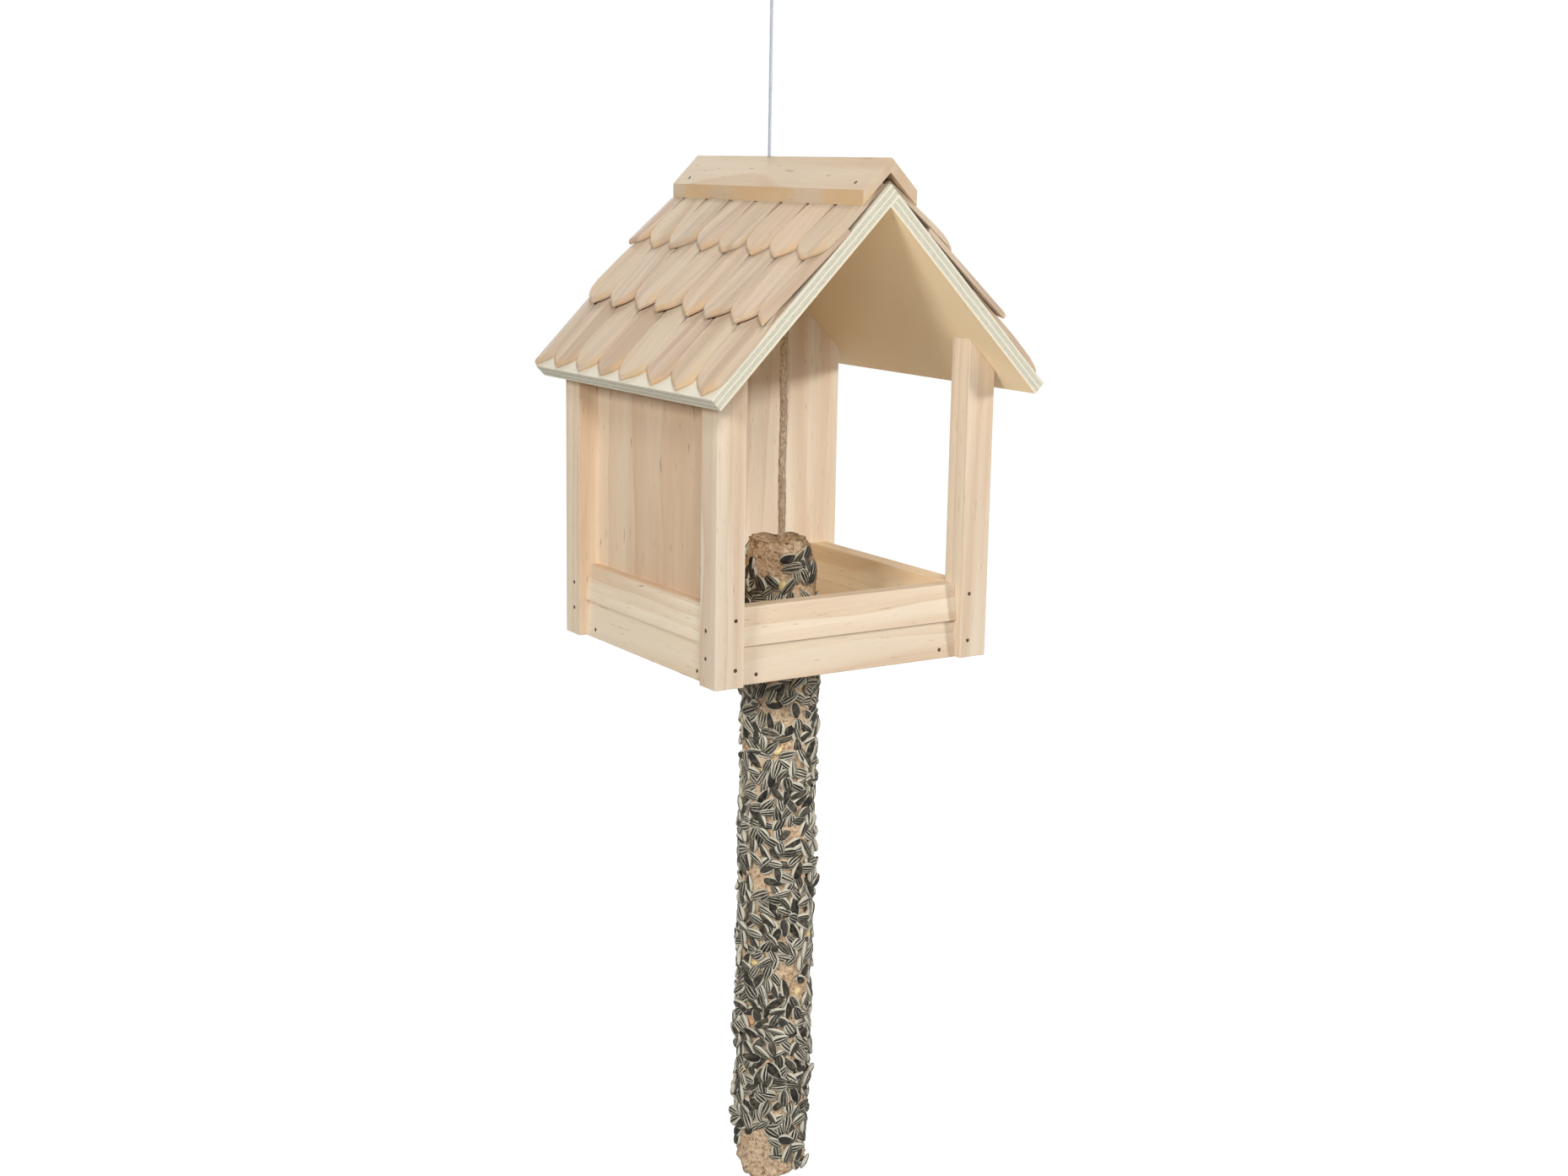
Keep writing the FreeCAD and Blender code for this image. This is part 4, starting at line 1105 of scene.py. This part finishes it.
profile = [(core_high.z, CORE_END_RADIUS * share / 10) for share in range(10)]
profile += [(core_high.z - 0.0004, CORE_END_RADIUS * 0.97), (core_high.z - 0.0014, CORE_END_RADIUS * 1.03)]
for share in (0.3, 0.5, 0.7, 0.85):
    widened = CORE_END_RADIUS + (CORE_RADIUS - CORE_END_RADIUS) * share
    profile.append((core_high.z - CORE_SHOULDER * share, widened))
tall = core_high.z - core_low.z - CORE_SHOULDER - CORE_FOOT_RISE
for step in range(CORE_STEPS + 1):
    profile.append((core_high.z - CORE_SHOULDER - tall * step / CORE_STEPS, CORE_RADIUS))
profile += [(core_low.z + 0.002, CORE_FOOT_EDGE), (core_low.z, CORE_FOOT_RADIUS * 0.95)]
profile += [(core_low.z, CORE_FOOT_RADIUS * 0.5), (core_low.z, 0.0)]
stick_axis = Vector((0, HOOK_Y, 0))


def crumbled(height, radius, angle):
    """The place of a point on the core's skin, roughened, and pushed in where it is chipped or broken."""
    spoke = Vector((math.cos(angle), math.sin(angle), 0))
    place = stick_axis + spoke * radius + Z_AXIS * height
    from_head, from_foot = core_high.z - height, height - core_low.z
    towards_corner = (place - stick_axis).dot(BROKEN_CORNER)
    rough = 0.0
    for crumbs_to_metre, depth in SKIN_CRUMBS:
        rough += noise.noise(place * crumbs_to_metre) * depth
    near_head = max(0.0, 1 - from_head / BROKEN_REACH)
    broken = eased_step((spoke.dot(BROKEN_CORNER) - BROKEN_FROM) / BROKEN_OVER) * BROKEN_DEPTH * near_head
    broken *= min(1.0, radius / CORE_END_RADIUS)
    from_groove = abs(towards_corner + GROOVE_OFFSET) / GROOVE_HALF_WIDTH
    grooved = (1 - eased_step(from_groove)) * GROOVE_DEPTH * max(0.0, 1 - from_head / GROOVE_REACH)
    past_point = towards_corner - FOOT_POINT
    shortened = FOOT_SHORT + past_point * FOOT_SLOPES[0 if past_point > 0 else 1]
    slanted = shortened * max(0.0, 1 - from_foot / FOOT_SLANT)
    if from_head < END_FACE or from_foot < END_FACE:
        lumps = noise.noise(place * END_LUMPS) * END_LUMP_DEPTH + rough - END_SUNK
        outward = 1 if from_head < END_FACE else -1
        push = Z_AXIS * (slanted + lumps * outward - broken * BROKEN_DROP - grooved) - spoke * broken
    else:
        at_ends = max(near_head, 1 - from_foot / CHIP_REACH)
        chipped = noise.fractal(place * CHIPS_TO_METRE, 1.0, 2.0, 3) * CHIP_DEPTH * max(at_ends, 0.0)
        push = spoke * (rough + chipped - broken - SKIN_SUNK) + Z_AXIS * (slanted - grooved)
    return place + push


rings = []
for height, radius in profile:
    angles = bearings(CORE_ROUND) if radius > 0 else [0.0]
    rings.append([crumbled(height, radius, angle) for angle in angles])
core_mesh = lofted("stick_core", [rings])
finish_piece("stick_core_meal", core_mesh, meal, "seed_stick", ["stick_core"])


# Striped sunflower seeds in their hulls, pressed into the core's skin in drifts, lying every way and over
# each other, dusty with meal. Each hull is dark, with a pale rim and a few pale stripes from end to end.
SEED_LENGTH = 0.0132
SEED_WIDTH = 0.0083
SEED_THICKNESS = 0.0044
SEED_SPACING = 0.0050
SEED_SIDES = 8
SEED_ROWS = (0.0, 0.07, 0.24, 0.46, 0.68, 0.87, 1.0)
MOST_SEEDS = 90000.0
HOLE_CLEARANCE = 0.014

hulls, tree, shader = new_material("striped_hulls", 0.65, 0.15)
place = attribute(tree, "grain", "Vector")
draw = attribute(tree, "draw", "Fac")
across = place.axis("Y")
own = add(tree, "ShaderNodeCombineXYZ", {"X": place.axis("X"), "Y": across * 4.0, "Z": draw * 60.0})
ragged = add(tree, "ShaderNodeTexNoise", {"Vector": own, "Scale": 1.6, "Detail": 3.0})
beat = (across + (ragged - 0.5) * 0.24 + draw) * 11.5
paleness = (draw * 7.0).math("FRACT") - 0.8
stripe = ramp(beat.math("COSINE") + paleness, (0.42, 0.0), (0.74, 1.0))
rim = ramp(across.math("ABSOLUTE"), (0.70, 0.0), (0.76, 1.0))
greyness = (draw * 13.0).math("FRACT")
dark = mixed(greyness * ragged, srgb(27, 25, 22), srgb(88, 83, 73))
striped = mixed((stripe * 0.88).math("MAXIMUM", rim * 0.92), dark, srgb(214, 208, 190))
dusting = ramp(streaks(object_place(tree), (260, 260, 260), 4.0), (0.48, 0.0), (0.76, 0.3))
lead_in(
    shader, base_color=mixed(dusting, striped, srgb(176, 160, 132)),
    roughness=ramp(ragged, (0.3, 0.5), (0.7, 0.75)), normal=bumped(stripe, 0.35, 0.0002),
)


def seed_object(name, length, width, thickness):
    """One hull: a drop with a blunt and a pointed end, along X and flat in Z. Grain is its run and width."""
    rings, grain = [], []
    for share in SEED_ROWS:
        girth = max(math.sin(math.pi * share ** 0.72) ** 0.58 if 0 < share < 1 else 0.0, 0.06)
        ring = []
        for angle in bearings(SEED_SIDES):
            flank = math.copysign(abs(math.cos(angle)) ** 0.9, math.cos(angle))
            rise = math.sin(angle)
            ring.append(((share - 0.5) * length, flank * girth * width / 2, rise * girth * thickness / 2))
            grain.append((share, flank, rise))
        rings.append(ring)
    return small_object(name, rings, grain)


def pressed_seeds_tree():
    """Seeds over a core's side: scattered apart, left out in bare patches, laid on the skin and turned."""
    tree, given, result = new_tree(
        "pressed_seeds", "GeometryNodeTree", GEOMETRY, **GEOMETRY, Object=["First Shape", "Second Shape"],
        Float=[
            "Spacing", "Bare Patches", "Patch Size", "Drift", "Bare Head", "Bare Foot", "Sink", "Lift",
            "Tilt", "Free Below", "Top", "Bottom",
        ],
        Int=["Seed"], Material=["Material"],
    )
    place = add(tree, "GeometryNodeInputPosition")
    drift = add(tree, "ShaderNodeTexNoise", {
        "Vector": place, "W": given["Drift"], "Scale": given["Patch Size"], "Detail": 2.0,
    }, noise_dimensions="4D")
    spots = add(tree, "GeometryNodeDistributePointsOnFaces", {
        "Mesh": given["Geometry"], "Distance Min": given["Spacing"], "Density Max": MOST_SEEDS,
        "Seed": given["Seed"],
    }, distribute_method="POISSON")
    height = place.axis("Z")
    on_side = height.math("LESS_THAN", given["Top"]) * height.math("GREATER_THAN", given["Bottom"])
    bare = given["Bare Patches"]
    for away, reach, thinning in (
        (given["Top"] - height, given["Bare Head"], 0.25),
        (height - given["Bottom"], given["Bare Foot"], 0.21),
    ):
        bare = bare + (1.0 - away / reach).math("MAXIMUM", 0.0) * thinning
    loose = height.math("LESS_THAN", given["Free Below"]) * 0.6 + 1.0
    leaned = turned(spots["Rotation"], (0, 0, 1), random_value(tree, 0.0, FULL_SPIN, given["Seed"]))
    for axis, number in (((1, 0, 0), 31), ((0, 1, 0), 47)):
        leaned = turned(leaned, axis, random_value(tree, -1.0, 1.0, number) * (given["Tilt"] * loose))
    seeds = add(tree, "GeometryNodeInstanceOnPoints", {
        "Points": spots, "Selection": on_side * drift.math("GREATER_THAN", bare),
        "Instance": choice(given, "First Shape", "Second Shape"), "Pick Instance": True,
        "Instance Index": random_value(tree, 0, 1, 12, "INT"), "Rotation": leaned,
        "Scale": random_value(tree, (0.86, 0.84, 0.85), (1.12, 1.1, 1.02), 13, "FLOAT_VECTOR"),
    })
    in_drift = ramp(drift - bare, (0.0, 0.35), (0.2, 1.0))
    lift = random_value(tree, 0.0, 1.0, 17) * (given["Lift"] * loose * in_drift) - given["Sink"]
    rise = add(tree, "ShaderNodeCombineXYZ", {"Z": lift})
    lifted = add(tree, "GeometryNodeTranslateInstances", {
        "Instances": seeds, "Translation": rise, "Local Space": True,
    })
    hand_over(stored(lifted, "draw", random_value(tree, 0.0, 1.0, 19)), given["Material"], result)
    return tree


pressed_seeds = pressed_seeds_tree()
plump = seed_object("plump_seed", SEED_LENGTH, SEED_WIDTH, SEED_THICKNESS)
slim = seed_object("slim_seed", SEED_LENGTH * 0.95, SEED_WIDTH * 0.86, SEED_THICKNESS * 0.95)
mesh = grown(
    "sunflower_seeds", core_mesh.copy(), pressed_seeds, first_shape=plump, second_shape=slim,
    spacing=SEED_SPACING, bare_patches=0.36, patch_size=38.0, drift=2.8, bare_head=0.026, bare_foot=0.024,
    sink=0.0004, lift=0.0025, tilt=0.26, free_below=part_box("floor_panel")[0].z - HOLE_CLEARANCE,
    top=core_high.z - 0.0075, bottom=core_low.z + 0.016, seed=4, material=hulls,
)
finish_piece("sunflower_seeds_hulls", mesh, hulls, "seed_stick", ["sunflower_seeds"])


# Kernels of maize, few and far between, broken and yellow, some of them reddish. They are pressed into the
# core among the seeds and half sunk in it.
MAIZE_SPACING = 0.034

maize, tree, shader = new_material("maize_kernels", 0.5, 0.4)
flour = streaks(object_place(tree), (320, 320, 320), 4.0)
yellow = blotched(flour, srgb(216, 188, 116), srgb(224, 204, 156))
reddish = ramp(attribute(tree, "draw", "Fac"), (0.72, 0.0), (0.8, 0.8))
lead_in(
    shader, base_color=mixed(reddish, yellow, srgb(206, 142, 100)),
    roughness=ramp(flour, (0.3, 0.38), (0.7, 0.7)), normal=bumped(flour, 0.4, 0.0004),
)
kernel = seed_object("kernel", 0.0066, 0.0054, 0.0040)
chip = seed_object("chip", 0.0048, 0.0044, 0.0034)
mesh = grown(
    "maize_kernels", core_mesh.copy(), pressed_seeds, first_shape=kernel, second_shape=chip,
    spacing=MAIZE_SPACING, bare_patches=0.0, patch_size=34.0, drift=1.0, bare_head=0.036, bare_foot=0.01,
    sink=0.0006, lift=0.0016, tilt=0.5, free_below=core_low.z, top=core_high.z - 0.016,
    bottom=core_low.z + 0.012, seed=9, material=maize,
)
finish_piece("maize_kernels_grain", mesh, maize, "seed_stick", ["maize_kernels"])


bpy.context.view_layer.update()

# Stage: a pale floor well under the stick and a white world. Five soft lamps stand round the house: low on
# the right, on the left, in front near the camera, high up at the back, and a broad one behind.
FLOOR_DROP = 0.25
FLOOR_REACH = 6.0
WORLD_LIGHT = 0.06
LAMP_DISTANCE = 1.9
house_middle = Vector((0, 0, -0.3))


def seen_rays(tree):
    """1 for what the camera sees, straight, mirrored or through glass, and 0 for light on the object."""
    rays = add(tree, "ShaderNodeLightPath")
    mirrored = rays["Is Glossy Ray"].math("MAXIMUM", rays["Is Transmission Ray"])
    return rays["Is Camera Ray"].math("MAXIMUM", mirrored)


floor_mesh = bpy.data.meshes.new("studio_floor")
corners = [(-1, -1), (1, -1), (1, 1), (-1, 1)]
floor_height = cad_box[0].z - FLOOR_DROP
floor_places = [(x * FLOOR_REACH, y * FLOOR_REACH, floor_height) for x, y in corners]
floor_mesh.from_pydata(floor_places, [], [(0, 1, 2, 3)])
white, tree, shader = new_material("studio_white", 0.9)
shader.inputs["Base Color"].default_value = (0.52, 0.52, 0.52, 1)
away = object_place(tree).vector("MULTIPLY", (1, 1, 0)).vector("LENGTH", output="Value")
brightness = seen_rays(tree) * ramp(away * 0.25, (0.08, 0.7), (0.5, 0.96))
glow = add(tree, "ShaderNodeEmission", {"Color": (1, 1, 1, 1), "Strength": brightness})
both = add(tree, "ShaderNodeAddShader", {0: Flow(shader), 1: glow})
tree.links.new(both.socket, tree.nodes["Material Output"].inputs["Surface"])
floor_mesh.materials.append(white)
in_scene("studio_floor", floor_mesh)

world = bpy.data.worlds.new("studio")
bpy.context.scene.world = world
world.use_nodes = True
backdrop = world.node_tree.nodes["Background"]
backdrop.inputs["Color"].default_value = (1, 1, 1, 1)
lead_in(backdrop, strength=seen_rays(world.node_tree) * (1 - WORLD_LIGHT) + WORLD_LIGHT)


def lamp(name, azimuth, height, size, energy):
    """A soft lamp aimed at the house, by its bearing to the right of the front and its height angle."""
    light = bpy.data.lights.new(name, "AREA")
    light.shape = "SQUARE"
    light.size = size
    light.energy = energy
    bearing, rise = math.radians(azimuth), math.radians(height)
    away = Vector((math.sin(bearing) * math.cos(rise), -math.cos(bearing) * math.cos(rise), math.sin(rise)))
    place = house_middle + away * LAMP_DISTANCE
    holder = in_scene(name, light)
    holder.location = place
    holder.rotation_mode = "QUATERNION"
    holder.rotation_quaternion = (house_middle - place).to_track_quat("-Z", "Y")


lamp("right_lamp", 46, 9, 0.3, 19)
lamp("left_lamp", -65, 18, 0.4, 20.6)
lamp("front_lamp", -27, 25, 0.4, 16.5)
lamp("top_lamp", 150, 72, 0.3, 13)
lamp("back_lamp", 168, 18, 0.8, 13.5)
